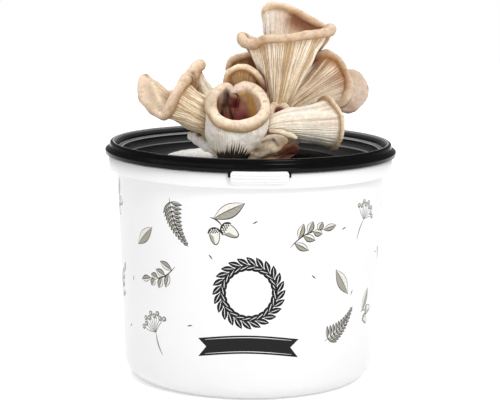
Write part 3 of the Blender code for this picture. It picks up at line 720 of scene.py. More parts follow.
def openness(shapes):
    """How open each shape is to its surroundings, from 0 to 1 on a coarse copy of its grid."""
    points = []
    faces = []
    coarse = []
    for shape in shapes:
        grid = shape["grid"][:, ::GILL_STEPS]
        coarse.append(grid)
        index = np.arange(grid[..., 0].size).reshape(grid.shape[:2]) + len(points)
        faces += grid_quads(index).tolist()
        points += grid.reshape(-1, 3).tolist()
    tree = BVHTree.FromPolygons(points, faces)
    fan = ray_fan(CREVICE_RAYS)
    results = []
    for grid in coarse:
        normal = outward_normals(grid)
        first = unit(np.cross(normal, (0.31, 0.17, 0.93)))
        second = np.cross(normal, first)
        rays = fan[:, 0, None, None, None] * first + fan[:, 1, None, None, None] * second
        rays = rays + fan[:, 2, None, None, None] * normal
        start = (grid + normal * CREVICE_START).reshape(-1, 3)
        shade = np.zeros(len(start))
        for ray in rays.reshape(CREVICE_RAYS, -1, 3):
            for i in range(len(start)):
                distance = tree.ray_cast(start[i], ray[i], CREVICE_REACH)[3]
                if distance is not None:
                    shade[i] += 1 - distance / CREVICE_REACH
        results.append(1 - shade.reshape(grid.shape[:2]) / CREVICE_RAYS)
    return results


def shaded(shape, light):
    """The shape's colours with painted shade: darker and redder where it is hemmed in."""
    around = shape["grid"].shape[1]
    turns = np.arange(around) / around
    known = np.arange(light.shape[1]) / light.shape[1]
    fine = np.array([np.interp(turns, known, ring, period=1) for ring in light])
    fine = (np.roll(fine, 3, axis=1) + 2 * fine + np.roll(fine, -3, axis=1)) / 4
    share = smooth_step(fine, 0.08, 0.82)[..., None]
    return shape["colours"] * (CREVICE_SHADE * (1 - share) + share)


def turned_inside_out(data):
    """Whether a closed mesh's faces look inwards."""
    count = len(data.vertices)
    co = np.zeros(count * 3)
    data.vertices.foreach_get("co", co)
    co = co.reshape(-1, 3)
    data.calc_loop_triangles()
    corners = np.zeros(len(data.loop_triangles) * 3, int)
    data.loop_triangles.foreach_get("vertices", corners)
    a, b, c = co[corners.reshape(-1, 3)].transpose(1, 0, 2)
    return np.sum(a * np.cross(b, c)) < 0


def add_object(name, data):
    """A new object in the scene."""
    made = bpy.data.objects.new(name, data)
    bpy.context.collection.objects.link(made)
    return made


def add_piece(name, data, look, node):
    """Puts a mesh in the scene as a piece on the root, in place of a node of the solids."""
    if turned_inside_out(data):
        data.flip_normals()
    piece = add_object(name, data)
    data.materials.append(look)
    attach(piece, "root")
    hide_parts(node)


def new_material(name, roughness, specular=0.5):
    """A node material, its node tree and its Principled shader."""
    made = bpy.data.materials.new(name)
    made.use_nodes = True
    shader = made.node_tree.nodes["Principled BSDF"]
    shader.inputs["Roughness"].default_value = roughness
    shader.inputs["Specular IOR Level"].default_value = specular
    return made, made.node_tree, shader


def tint_node(tree):
    """The colours and the gloss painted on a mesh."""
    node = tree.nodes.new("ShaderNodeAttribute")
    node.attribute_name = "tint"
    return node


def add_node(tree, kind, inputs):
    """A node with each of its inputs set to a value, or linked where an output is given."""
    node = tree.nodes.new("ShaderNode" + kind)
    for name, value in inputs.items():
        if isinstance(value, bpy.types.NodeSocket):
            tree.links.new(value, node.inputs[name])
        else:
            node.inputs[name].default_value = value
    return node


def noise(tree, scale, detail, stretch=(1, 1, 1)):
    """Noise over the object's own space, which can be stretched along an axis."""
    place = add_node(tree, "TexCoord", {})
    mapping = add_node(tree, "Mapping", {"Vector": place.outputs["Object"], "Scale": stretch})
    settings = {"Vector": mapping.outputs["Vector"], "Scale": scale, "Detail": detail}
    return add_node(tree, "TexNoise", settings).outputs["Fac"]


def shades(tree, source, stops):
    """What a colour ramp makes of a value. Its two stops each have a place and a grey or colour."""
    ramp = add_node(tree, "ValToRGB", {"Fac": source})
    for element, (place, colour) in zip(ramp.color_ramp.elements, stops):
        element.position = place
        element.color = (*np.broadcast_to(colour, 3), 1.0)
    return ramp.outputs["Color"]


def mottled(tree, colour, source, stops):
    """A colour multiplied by the shades that a ramp makes of a noise."""
    node = tree.nodes.new("ShaderNodeMix")
    node.data_type = "RGBA"
    node.blend_type = "MULTIPLY"
    node.inputs["Factor"].default_value = 1.0
    tree.links.new(colour, node.inputs["A"])
    tree.links.new(shades(tree, source, stops), node.inputs["B"])
    return node.outputs["Result"]


def add_bump(tree, shader, height, strength, distance):
    """Bump from a height, on the shader's normal. Distance is in millimetres."""
    settings = {"Height": height, "Strength": strength, "Distance": distance * MM}
    bump = add_node(tree, "Bump", settings)
    tree.links.new(bump.outputs["Normal"], shader.inputs["Normal"])


def map_range(tree, value, low, high, top=1.0):
    """A value from 0 to top, turned into one from low to high."""
    settings = {"Value": value, "From Max": top, "To Min": low, "To Max": high}
    return add_node(tree, "MapRange", settings).outputs["Result"]


def flesh_material():
    """Mushroom flesh: the painted tint, finely mottled, matte, and a little see-through."""
    look, tree, shader = new_material("mushroom_flesh", roughness=0.62, specular=0.15)
    colour = tint_node(tree).outputs["Color"]
    colour = mottled(tree, colour, noise(tree, scale=420, detail=5), [(0.3, 0.86), (0.7, 1.06)])
    patches = noise(tree, scale=90, detail=3)
    colour = mottled(tree, colour, patches, [(0.35, (0.93, 0.90, 0.86)), (0.65, 1.0)])
    tree.links.new(colour, shader.inputs["Base Color"])
    shader.inputs["Subsurface Weight"].default_value = 0.08
    shader.inputs["Subsurface Radius"].default_value = (0.0014, 0.0008, 0.0005)
    shader.inputs["Subsurface Scale"].default_value = 1.0
    add_bump(tree, shader, noise(tree, scale=900, detail=6), strength=0.35, distance=0.25)
    return look


def bucket_material():
    """White moulded plastic with the faintest unevenness, and the print's fine grain."""
    look, tree, shader = new_material("bucket_plastic", roughness=0.32, specular=0.15)
    colour = tint_node(tree).outputs["Color"]
    colour = mottled(tree, colour, noise(tree, scale=14, detail=2), [(0.3, 0.69), (0.7, 0.71)])
    colour = mottled(tree, colour, noise(tree, scale=1300, detail=3), [(0.35, 0.97), (0.65, 1.0)])
    tree.links.new(colour, shader.inputs["Base Color"])
    add_bump(tree, shader, noise(tree, scale=500, detail=3), strength=0.06, distance=0.1)
    return look


def lid_material():
    """Black satin plastic with faint scuffs, as glossy as the tint's alpha says."""
    look, tree, shader = new_material("lid_plastic", roughness=0.3, specular=0.1)
    tint = tint_node(tree)
    scuffs = noise(tree, scale=260, detail=6, stretch=(1, 1, 3))
    colour = mottled(tree, tint.outputs["Color"], scuffs, [(0.3, 0.8), (0.7, 1.1)])
    tree.links.new(colour, shader.inputs["Base Color"])
    rough = map_range(tree, tint.outputs["Alpha"], LID_MATT_ROUGHNESS, LID_GLOSS_ROUGHNESS)
    tree.links.new(rough, shader.inputs["Roughness"])
    add_bump(tree, shader, noise(tree, scale=700, detail=3), strength=0.08, distance=0.1)
    return look


def substrate_material():
    """White mycelium felt over dark crumbly grounds, told apart by the painted tint."""
    look, tree, shader = new_material("substrate_surface", roughness=0.85, specular=0.1)
    grains = noise(tree, scale=700, detail=6)
    colour = mottled(tree, tint_node(tree).outputs["Color"], grains, [(0.35, 0.72), (0.65, 1.1)])
    tree.links.new(colour, shader.inputs["Base Color"])
    add_bump(tree, shader, grains, strength=0.6, distance=0.6)
    return look


def rounded(points, radius, steps=4):
    """A closed profile with each of its corners rounded, as far as its sides leave room."""
    knots = np.array(points, float)
    path = []
    for i, corner in enumerate(knots):
        before = knots[i - 1] - corner
        after = knots[(i + 1) % len(knots)] - corner
        reach = min(radius, np.linalg.norm(before) * 0.45, np.linalg.norm(after) * 0.45)
        start = corner + unit(before) * reach
        end = corner + unit(after) * reach
        for t in np.linspace(0, 1, steps):
            path.append((1 - t) ** 2 * start + 2 * t * (1 - t) * corner + t**2 * end)
    return np.array(path)


def turned_grid(profile, turns=EVEN_TURNS):
    """Rings of points around the axis, one for each radius and height of a profile."""
    radii = profile[:, :1]
    heights = np.repeat(profile[:, 1:], len(turns), axis=1)
    return np.stack([radii * np.cos(turns), radii * np.sin(turns), heights], axis=-1)


def turned_ring(name, profile, colours):
    """A turned mesh from a closed profile of radii and heights in millimetres.

    Each point of the profile has a row of colours, with its gloss as the fourth number.
    """
    grid = turned_grid(profile)
    index = np.arange(grid[..., 0].size).reshape(grid.shape[:2])
    faces = grid_quads(np.vstack([index, index[:1]])).tolist()
    tints = np.repeat(colours, TURNED_SIDES, axis=0)
    data = tinted_mesh(name, grid.reshape(-1, 3), faces, tints)
    data.set_sharp_from_angle(angle=CREASE)
    return data


def arc(centre_r, centre_z, radius, start, end, count):
    """Points of a profile's round corner, with angles in degrees."""
    angles = np.radians(np.linspace(start, end, count))
    return [(centre_r + radius * math.cos(a), centre_z + radius * math.sin(a)) for a in angles]


def wall_radius(height):
    """Outer radius of the bucket's tapered wall."""
    share = (height - FILLET) / (COLLAR_BOTTOM - FILLET)
    return WALL_LOW_RADIUS + (WALL_HIGH_RADIUS - WALL_LOW_RADIUS) * share


def bucket_profile():
    """Radius and height along the bucket, from its underside to its floor inside."""
    foot_inner = FOOT_RADIUS - FOOT_WIDTH
    collar_foot = wall_radius(COLLAR_BOTTOM)
    outer = [(0.0, FOOT_RECESS), (foot_inner - 1, FOOT_RECESS), (foot_inner, 0)]
    outer += arc(FOOT_RADIUS, FILLET, FILLET, -90, 0, 14)
    outer += [(wall_radius(PRINT_LOW), PRINT_LOW), (wall_radius(PRINT_HIGH), PRINT_HIGH)]
    collar = [
        (collar_foot, COLLAR_BOTTOM - 0.5), (collar_foot + 0.5, COLLAR_BOTTOM),
        (COLLAR_RADIUS - 0.8, COLLAR_BOTTOM), (COLLAR_RADIUS - 0.2, COLLAR_BOTTOM + 0.2),
        (COLLAR_RADIUS, COLLAR_BOTTOM + 0.8), (COLLAR_RADIUS, COLLAR_TOP - 0.5),
        (COLLAR_RADIUS - 0.5, COLLAR_TOP), (BEAD_INNER + 0.6, COLLAR_TOP + 0.6),
    ]
    bead = [
        (BEAD_OUTER - 1.0, COLLAR_TOP + 4.0), (BEAD_OUTER, BEAD_TOP - 1.6),
        (BEAD_OUTER - 0.8, BEAD_TOP), (BEAD_INNER, BEAD_TOP - 0.5),
    ]
    lift = FOOT_RECESS + FLOOR_THICKNESS - WALL
    inner = [(collar_foot - WALL, COLLAR_BOTTOM)]
    inner += [(r, z + lift) for r, z in arc(FOOT_RADIUS, FILLET, FILLET - WALL, 0, -90, 8)]
    inner.append((0.0, FOOT_RECESS + FLOOR_THICKNESS))
    return np.array(outer + collar + bead + inner)


def lid_profile():
    """Radius and height around the lid's section: over its top inwards, back along its underside."""
    rim = [
        (LID_RADIUS - 0.3, LID_SKIRT_BOTTOM), (LID_RADIUS, LID_SKIRT_BOTTOM + 3.4),
        (LID_RADIUS - 3.4, LID_TOP - 3.8), (LID_RADIUS - 3.9, LID_TOP - 0.8),
        (LID_RADIUS - 5.0, LID_TOP), (LID_RADIUS - 6.4, LID_TOP), (LID_RADIUS - 7.8, LID_TOP - 0.8),
    ]
    opening = [(OPENING_RADIUS, TRAY_FLOOR), (OPENING_RADIUS, TRAY_FLOOR - LID_THICKNESS)]
    return rounded(rim + LID_LEDGES + opening + LID_CHANNEL, CORNER_ROUNDING)


def around_axis(loop, angle):
    """Points in space from radii and heights at an angle about the axis."""
    return [(r * math.cos(angle), r * math.sin(angle), z) for r, z in loop]


def tab_mesh():
    """The seal tab as a closed plate with round corners, two faint ribs across its face and faint lines
    of painted shade.
    """
    half = TAB_WIDTH / 2
    columns = np.concatenate([
        -half + TAB_CORNER * (1 - np.cos(np.linspace(0, math.pi / 2, 7))),
        np.linspace(TAB_CORNER - half, half - TAB_CORNER, 40)[1:-1],
        half - TAB_CORNER * (1 - np.cos(np.linspace(math.pi / 2, 0, 7))),
    ])
    sunk = COLLAR_RADIUS - 1.0
    loops = []
    for along in columns:
        into_corner = max(0.0, abs(along) - half + TAB_CORNER)
        drop = TAB_CORNER - math.sqrt(max(TAB_CORNER**2 - into_corner**2, 0))
        top = TAB_TOP - drop
        bottom = TAB_BOTTOM + drop * 0.4
        loop = []
        for share in np.linspace(0, 1, 24):
            rib = sum(math.exp(-((share - place) / TAB_RIB_WIDTH) ** 2) for place in TAB_RIBS)
            edge = 0.6 * (max(0.0, abs(share - 0.5) - 0.42) / 0.08) ** 2
            radius = TAB_RADIUS - 0.3 + TAB_RIB_HEIGHT * rib - edge
            loop.append((radius, bottom + (top - bottom) * share))
        loop += [(sunk, top), (sunk, bottom)]
        loops.append(around_axis(loop, TAB_AZIMUTH - math.pi / 2 + along / TAB_RADIUS))
    grid = np.array(loops)
    # Painted shade: darker lines across the tab
    across = np.linspace(0, 1, grid.shape[1])[None, :]
    lines = sum(np.exp(-((across - place) / TAB_LINE_WIDTH) ** 2) for place in TAB_LINES)
    tints = np.repeat((1 - TAB_LINE_DEPTH * lines)[..., None], 3, axis=2)
    return capped_mesh("tab", grid, np.broadcast_to(tints, grid.shape))


def placed(shapes, place, angle, size=1.0):
    """The same flat shapes with their tones, sized, turned and moved."""
    turn = math.radians(angle)
    spin = size * np.array([[math.cos(turn), math.sin(turn)], [-math.sin(turn), math.cos(turn)]])
    return [(np.asarray(outline) @ spin + place, tone) for outline, tone in shapes]


def stroke(path, width):
    """A pencil line along a path, thin at its ends."""
    path = np.array(path, float)
    along = unit(np.gradient(path, axis=0))
    across = np.stack([-along[:, 1], along[:, 0]], axis=1)
    half = width / 2 * np.sin(np.linspace(0.35, math.pi - 0.35, len(path)))[:, None]
    return np.vstack([path + across * half, (path - across * half)[::-1]])


def arch(start, end, bend, count=9):
    """Points along a shallow arch from start to end, which rises by bend to its left."""
    share = np.linspace(0, 1, count)[:, None]
    chord = np.array(end, float) - start
    left = np.array([-chord[1], chord[0]]) / max(np.hypot(*chord), 1e-9)
    return np.array(start) + chord * share + left * bend * np.sin(math.pi * share)


def blade(start, end, bend, count=9):
    """A pointed flat shape from start to end, whose sides rise by bend."""
    upper = arch((start, 0), (end, 0), bend, count)
    lower = arch((start, 0), (end, 0), -bend, count)
    return np.vstack([upper, lower[-2:0:-1]])


def oval(middle, across, up, turns):
    """Points of an oval, or of a part of one."""
    return np.stack([middle + across * np.cos(turns), up * np.sin(turns)], axis=1)


def leaf(length, width, veins=4):
    """A pointed leaf: its wash, one darker half, its outline, midrib and veins."""
    upper = arch((0, 0), (length, 0), width / 2)
    lower = arch((0, 0), (length, 0), -width / 2)
    rib = arch((0, 0), (length, 0), width * 0.06)
    shapes = [(blade(0, length, width / 2), WASH), (np.vstack([lower, rib[-2:0:-1]]), SHADE)]
    for line, thickness in ((upper, 0.45), (lower, 0.7), (rib, 0.55)):
        shapes.append((stroke(line, thickness), LINE))
    for i in range(veins):
        foot = length * (i + 1) / (veins + 1.5)
        reach = width * 0.3 * math.sin(math.pi * (i + 1.5) / (veins + 2))
        shapes.append((stroke([(foot, 0), (foot + reach, reach)], 0.3), SHADE))
        shapes.append((stroke([(foot, 0), (foot + reach, -reach)], 0.35), LINE))
    return shapes


def sprig():
    """A bent twig with leaves on either side and one at its tip."""
    stem = arch((0, 0), (24, 0), 3.0, 8)
    shapes = [(stroke(stem, 0.9), LINE)]
    for i, foot in enumerate(stem[1:-1]):
        side = 1 if i % 2 else -1
        shapes += placed(leaf(11.0 - i, 4.6, 3), foot, side * (52 - 3 * i))
    return shapes + placed(leaf(10.0, 4.2, 3), stem[-1], -12)


def fern():
    """A frond with narrow leaflets in pairs that grow shorter towards its tip."""
    stem = arch((0, 0), (34, 0), -3.0, 13)
    shapes = [(stroke(stem, 0.8), LINE)]
    for i, foot in enumerate(stem[1:-1]):
        for angle in (58, -58):
            shapes += placed(leaf(9.5 * (1 - i / 12), 2.3, 0), foot, angle)
    return shapes


def seed_head():
    """A fan of thin stalks with a round seed at the end of each."""
    seed = oval(0.0, 1.0, 1.0, full_turn(10))
    shapes = [(stroke(arch((0, 0), (15, 0), 1.2, 5), 0.9), LINE)]
    for i, angle in enumerate(range(-60, 61, 15)):
        reach = 12.5 - 2.0 * (i % 2)
        turn = math.radians(angle)
        end = (15 + reach * math.cos(turn), reach * math.sin(turn))
        shapes.append((stroke(arch((15, 0), end, 0.8, 5), 0.45), LINE))
        shapes += [(seed * 1.7 + end, LINE), (seed * 1.25 + end, SHADE)]
        shapes.append((seed * 0.6 + end + (0.3, 0.4), WASH))
    return shapes


def acorn():
    """A nut in its scaly cup."""
    turns = np.linspace(-math.pi / 2, math.pi / 2, 11)
    inner = oval(3.0, 7.3, 3.1, turns)
    side = np.vstack([inner[:6], inner[5:0:-1] * (1, 0.3)])
    shapes = [(oval(3.0, 8.0, 3.6, turns), LINE), (inner, WASH), (side, SHADE)]
    shapes.append((oval(3.4, -4.0, 4.4, turns), LINE))
    for row in range(3):
        scale = blade(0.5 + row, 1.7 + row, 0.45, 5)
        for column in range(-2 - row, 3 + row, 2):
            shapes.append((scale + (0, column * 0.75), WASH))
    return shapes


def acorns():
    """A pair of acorns under a leaf."""
    shapes = [(stroke(arch((-8, 2), (0, 0), 1.0, 5), 0.9), LINE)]
    shapes += placed(leaf(20.0, 8.0, 5), (-6, 2), 48)
    shapes += placed(acorn(), (0, 0), -12)
    return shapes + placed(acorn(), (-4, -3), -62, 0.9)


def wreath():
    """A ring of plain dark leaves that overlap in two rows."""
    dark = [(blade(0, 10.5, 2.3, 7), CHARCOAL), (stroke([(1.0, 0), (4.5, 0), (8.5, 0)], 0.5), BARE)]
    shapes = []
    for angle in range(0, 360, 15):
        turn = math.radians(angle)
        foot = WREATH_RADIUS * np.array([math.cos(turn), math.sin(turn)])
        for lean in (62, 118):
            shapes += placed(dark, foot, angle + lean)
    return shapes


def ribbon():
    """A plain dark band with notched ends, a little arched, and a thin bare line along each side."""
    top = arch((-39, 0), (39, 0), 4.0, 15) + (0, 7.0)
    low = arch((-39, 0), (39, 0), 4.0, 15) - (0, 7.0)
    band = np.vstack([low, [(32.5, 1.0)], top[::-1], [(-32.5, 1.0)]])
    shapes = [(band, CHARCOAL)]
    for inset, edge in ((-1.6, top), (1.6, low)):
        shapes.append((stroke(edge[1:-1] + (0, inset), 0.5), BARE))
    return shapes


def printed_shapes():
    """Every shape of the print with its tone, laid out flat."""
    makers = {"fern": fern, "acorns": acorns, "sprig": sprig, "seed_head": seed_head}
    makers["leaf"] = lambda: leaf(24.0, 9.0, 6)
    shapes = []
    for motif, place, turn, size in PRINT_MOTIFS:
        shapes += placed(makers[motif](), place, turn, size)
    for u, v, turn in PRINT_DASHES:
        shapes += placed([(stroke([(0, 0), (2.2, 0), (4.4, 0)], 1.1), LINE)], (u, v), turn)
    shapes += placed(wreath(), WREATH_PLACE, 0)
    shapes += placed(ribbon(), RIBBON_PLACE, 0)
    return shapes


def printed_wall():
    """Points, triangles and tones of the wall, cut along its columns and the print's outlines."""
    width = 2 * math.pi * PRINT_RADIUS
    columns = np.linspace(-width / 2, width / 2, TURNED_SIDES + 1)
    points = [(u, v) for v in (PRINT_LOW, PRINT_HIGH) for u in columns]
    edges = [(i, i + len(columns)) for i in range(len(columns))]
    faces = []
    tones = []
    for outline, tone in printed_shapes():
        ahead = np.roll(outline, -1, axis=0)
        if np.sum(outline[:, 0] * ahead[:, 1] - outline[:, 1] * ahead[:, 0]) < 0:
            outline = outline[::-1]
        faces.append(list(range(len(points), len(points) + len(outline))))
        tones.append(tone)
        points += [tuple(point) for point in outline]
    flat, _, triangles, _, _, sources = delaunay_2d_cdt(
        [Vector(point) for point in points], edges, faces, 0, 1e-5
    )
    colours = [tones[max(source)] if source else BARE for source in sources]
    flat = np.array([tuple(point) for point in flat])
    angle = flat[:, 0] / PRINT_RADIUS - math.pi / 2
    radius = wall_radius(flat[:, 1])
    solid = np.stack([radius * np.cos(angle), radius * np.sin(angle), flat[:, 1]], axis=1)
    return solid, [list(triangle) for triangle in triangles], colours


def bucket_mesh():
    """The pail: turned rings above and below, with painted shade under the collar, and the printed wall
    between them.
    """
    profile = bucket_profile()
    turns = (np.arange(TURNED_SIDES) - TURNED_SIDES / 2) * 2 * math.pi / TURNED_SIDES - math.pi / 2
    points = turned_grid(profile, turns).reshape(-1, 3)
    index = np.arange(len(points)).reshape(len(profile), TURNED_SIDES)
    turned = (profile[:-1, 1] != PRINT_LOW) | (profile[1:, 1] != PRINT_HIGH)
    faces = grid_quads(index)[np.repeat(turned, TURNED_SIDES)].tolist()
    # Painted shade in the corner under the collar
    shade = [COLLAR_SHADE if at_collar_foot(r, z) else 1.0 for r, z in profile[:-1][turned]]
    colours = np.repeat(shade, TURNED_SIDES)[:, None].repeat(3, axis=1).tolist()
    wall, triangles, tones = printed_wall()
    faces += [[corner + len(points) for corner in triangle] for triangle in triangles]
    colours += tones
    points, faces, colours = welded(np.vstack([points, wall]), faces, colours)
    sides = [len(face) for face in faces]
    tints = np.hstack([np.array(colours, float), np.ones((len(faces), 1))]).repeat(sides, axis=0)
    data = tinted_mesh("bucket_body", points, faces, tints, "CORNER")
    data.set_sharp_from_angle(angle=CREASE)
    slope = (WALL_HIGH_RADIUS - WALL_LOW_RADIUS) / (COLLAR_BOTTOM - FILLET)
    normals = unit(unit(points * (1, 1, 0)) - (0, 0, slope))
    off_wall = (points[:, 2] < PRINT_LOW) | (points[:, 2] > PRINT_HIGH)
    off_wall |= np.hypot(points[:, 0], points[:, 1]) < wall_radius(points[:, 2]) - 0.5
    normals[off_wall] = 0
    data.normals_split_custom_set_from_vertices(normals.tolist())
    return data


def welded(points, faces, colours):
    """The same mesh with points that coincide to a micrometre made one, and no collapsed faces."""
    _, first, same = np.unique(np.round(points, 3), axis=0, return_index=True, return_inverse=True)
    same = same.ravel()
    faces = [list(dict.fromkeys(same[face].tolist())) for face in faces]
    colours = [colour for face, colour in zip(faces, colours) if len(face) > 2]
    return points[first], [face for face in faces if len(face) > 2], colours


def at_collar_foot(radius, height):
    """Whether a profile point is in the corner under the collar."""
    return abs(height - COLLAR_BOTTOM) < 1.0 and radius < COLLAR_RADIUS - 0.5


def lug_mesh(name, side):
    """A small black lug of the lid beside the seal tab."""
    middle = TAB_AZIMUTH - math.pi / 2 + side * (TAB_WIDTH / 2 + LUG_GAP) / TAB_RADIUS
    high = LID_SKIRT_BOTTOM + 0.6
    loops = []
    for share, shrink in ((-1, 0.5), (-0.7, 0), (0.7, 0), (1, 0.5)):
        low = LUG_BOTTOM + shrink
        outer = LUG_OUTER - shrink
        loop = [(LUG_INNER, low), (outer, low), (outer, high), (LUG_INNER, high)]
        loops.append(around_axis(loop, middle + share * LUG_WIDTH / 2 / TAB_RADIUS))
    grid = np.array(loops)
    return capped_mesh(name, grid, np.broadcast_to(LID_BLACK, grid.shape))


def add_bucket(look):
    """The bucket with its seal tab."""
    add_piece("bucket_white_pail", bucket_mesh(), look, "bucket")
    add_piece("bucket_seal_tab", tab_mesh(), look, "bucket")


def add_lid(look):
    """The lid with crisp ledges and painted highlights along its edges."""
    profile = lid_profile()
    # Painted highlights: grey along the lid's edges
    sheen = np.zeros(len(profile))
    for r, z, strength in LID_BRIGHT_EDGES:
        distance = np.hypot(profile[:, 0] - r, profile[:, 1] - z)
        sheen += strength * np.exp(-((distance / LID_EDGE_WIDTH) ** 2))
    gloss = smooth_step(profile[:, 0], LID_MATT_RADIUS, LID_MATT_RADIUS + 1.5)[:, None]
    colours = np.hstack([mix(LID_BLACK, LID_HIGHLIGHT_GREY, np.minimum(sheen, 1)), gloss])
    add_piece("lid_open_centre", turned_ring("lid_ring", profile, colours), look, "lid")
    add_piece("lid_lug_left", lug_mesh("lug_left", -1), look, "lid")
    add_piece("lid_lug_right", lug_mesh("lug_right", 1), look, "lid")


def add_substrate(look):
    """The block, with an uneven top: felted white at the left and dark crumbs at the right."""
    floor = FOOT_RECESS + FLOOR_THICKNESS + 0.35
    low = WALL_LOW_RADIUS - WALL - 1.0
    shelf = TRAY_FLOOR - LID_THICKNESS - 1.0
    side = [(0.5, floor), (FOOT_RADIUS, floor), (low, FILLET + 3), (SUBSTRATE_RADIUS, shelf)]
    side += [(SKIN_RADIUS, shelf), (SKIN_RADIUS, SKIN_TOP - 0.6)]
    top = [(r, SKIN_TOP) for r in np.linspace(SKIN_RADIUS - 0.8, 0.5, 60)]
    grid = turned_grid(np.array(side + top))
    dark = smooth_step(grid[..., 0] + 5 * waves(grid, 14, 3), 2, 12)
    on_top = np.zeros(grid.shape[:2])
    on_top[len(side):] = 1
    bumps = waves(grid, 6, 4) * 0.25 + waves(grid, 2.5, 5) * 0.15 - 0.5
    grid[..., 2] += on_top * bumps * (0.6 + 1.2 * dark)
    colours = mix(FELT, CRUMBS, dark)
    data = capped_mesh("substrate_block", grid, colours)
    add_piece("substrate_block", data, look, "substrate")


def trunk_shape():
    """The lumpy base that the stems fork from."""
    turns = full_turn(TRUNK_SIDES)
    levels = np.array(TRUNK_LEVELS)
    heights = levels[:, 0]
    rings = []
    for z in np.linspace(heights[0], heights[-1], ROD_RINGS):
        x, y, wide, deep = (np.interp(z, heights, column) for column in levels[:, 1:].T)
        level = np.interp(z, heights, range(len(heights)))
        lump = 1 + 0.10 * np.sin(3 * turns + level) + 0.05 * np.sin(7 * turns + 2 * level)
        across = x + wide * lump * np.cos(turns)
        away = y + deep * lump * np.sin(turns)
        rings.append(np.stack([across, away, np.full(TRUNK_SIDES, z)], axis=1))
    grid = np.array(rings)
    grid += outward_normals(grid) * (waves(grid, 7, 6) * 0.5)[..., None]
    dark = smooth_step(grid[..., 0] - grid[..., 1] * 0.4, 8, 22)
    dark = dark * smooth_step(190 - grid[..., 2], 0, 12)
    colours = mix(TRUNK_PALE, TRUNK_DARK, dark * 0.85)
    return {"node": "cluster_base", "grid": grid, "colours": colours, "slot": "base_cream"}


def add_cluster(look):
    """The whole cluster, with shade painted into its crevices."""
    shapes = [trunk_shape()]
    shapes += [fruit_shape(fruit) for fruit in FRUITS]
    shapes += [finger_shape(name, *values) for name, values in FINGERS.items()]
    for shape, light in zip(shapes, openness(shapes)):
        name = shape["node"] + "_body"
        data = capped_mesh(name, shape["grid"], shaded(shape, light))
        add_piece(name, data, look, shape["node"])


def fruit_colours(fruit, grid, zones, ridges):
    """The tint at each point: gill lines, lip, inside or cap, stains, painted shade in the gill
    valleys, under the lip, deep in a hollow and at a dark foot, and painted light on the lip's top.
    """
    zone = zones[:, 0][:, None]
    share = np.repeat(zones[:, 1][:, None], grid.shape[1], axis=1)
    around = grid.shape[1]
    gills = around // GILL_STEPS
    seed = len(fruit.name) + 11
    broad = streaks_along(around, share[:, 0], max(2, gills // 14), max(4, gills // 5), seed)
    thin = streaks_along(around, share[:, 0], max(4, gills // 4), max(6, gills // 2), seed + 1)
    streaks = 0.55 * broad + 0.45 * thin
    gill = mix(fruit.gill_low, fruit.gill_high, smooth_step(share, 0.05, 0.75))
    gill = mix(gill, fruit.lines, smooth_step(streaks, 0.48, 0.74) * 0.55 * fruit.line_strength)
    # Painted shade: the valleys between the gill ridges are painted darker, towards the line colour
    valley = smooth_step(-ridges, -0.1, 0.8) * fruit.line_strength
    gill = mix(gill, fruit.lines, np.clip(valley * (0.5 + 0.8 * streaks), 0, 1))
    # Painted shadow: the gills turn orange-brown just under the lip
    gill = mix(gill, ORANGE_BROWN, smooth_step(share, 0.88, 1.0) * fruit.under_lip_shade)
    # Painted shade: the lip is darker and browner on its underside; the same darker colour also tints
    # its cracks
    lip_low = np.array(fruit.lip_colour) * LIP_SHADE
    lip = mix(lip_low, fruit.lip_colour, smooth_step(share, 0.10, 0.55))
    # Painted light: the lip's upper side is painted lighter
    lip = mix(lip, np.minimum(np.array(fruit.lip_colour) * 1.12, 0.95), smooth_step(share, 0.5, 0.8))
    # Painted shade: orange-brown on the lip's underside
    lip = mix(lip, ORANGE_BROWN, smooth_step(0.25 - share, 0, 0.25) * fruit.under_lip_shade * 0.9)
    cracks = smooth_step(waves(grid, 2.2, 77, 14), 0.5, 1.6)
    cracks = cracks + smooth_step(waves(grid, 5.0, 78), 0.4, 1.8)
    lip = mix(lip, lip_low * 0.8, np.clip(cracks * 0.45, 0, 1))
    if fruit.dome:
        top = mix(fruit.lip_colour, fruit.cap, smooth_step(share, 0.0, 0.5))
        fibres = waves(grid, 3.0, 21) * 0.5 + 0.5
        top = mix(top, np.array(fruit.cap) * 0.8, fibres * 0.35)
    else:
        top = mix(fruit.lip_colour, fruit.inside, smooth_step(share, 0.02, 0.30))
        # Painted shade: a funnel's inside darkens towards the bottom of its hollow
        top = mix(top, fruit.deep, smooth_step(share, 0.18, 0.55))
    colours = np.where((zone == 3)[..., None], top, np.where((zone == 2)[..., None], lip, gill))
    stem = mix(fruit.gill_low, fruit.lines, 0.3 + 0.2 * streaks)
    colours = np.where((zone == 0)[..., None], stem, colours)
    # Painted shade: dark streaks reach up from the stem's foot, where it goes down into the lid
    if fruit.foot_reach:
        low = np.where(zone == 0, 0.0, np.where(zone == 1, share, 1.0))
        near = np.exp(-(((grid[..., 0] - fruit.root[0] - 1.5) / 10.0) ** 2))
        spikes = streaks_along(around, share[:, 0], gills // 3, gills, 31)
        reach = fruit.foot_reach * (0.36 + 0.45 * near + 0.75 * spikes * (0.3 + near))
        colours = mix(colours, ORANGE_BROWN, smooth_step(reach - low, -0.08, 0.1) * 0.6)
        colours = mix(colours, fruit.foot, smooth_step(reach - low, 0.0, 0.16))
    return with_stains_and_painted_light(colours, grid, fruit.stains_and_painted_light)


def with_stains_and_painted_light(colours, grid, stains_and_painted_light):
    """The same colours with soft spots and streaks of other colours over them: real stains, painted
    shade and painted highlights.
    """
    for spot in stains_and_painted_light:
        start = np.array(spot.place, float)
        run = np.array(spot.end or spot.place, float) - start
        reach = np.clip((grid - start) @ run / max(run @ run, 1e-9), 0, 1)
        distance = np.linalg.norm(grid - start - reach[..., None] * run, axis=-1)
        colours = mix(colours, spot.colour, np.exp(-((distance / spot.size) ** 2)) * spot.strength)
    return colours


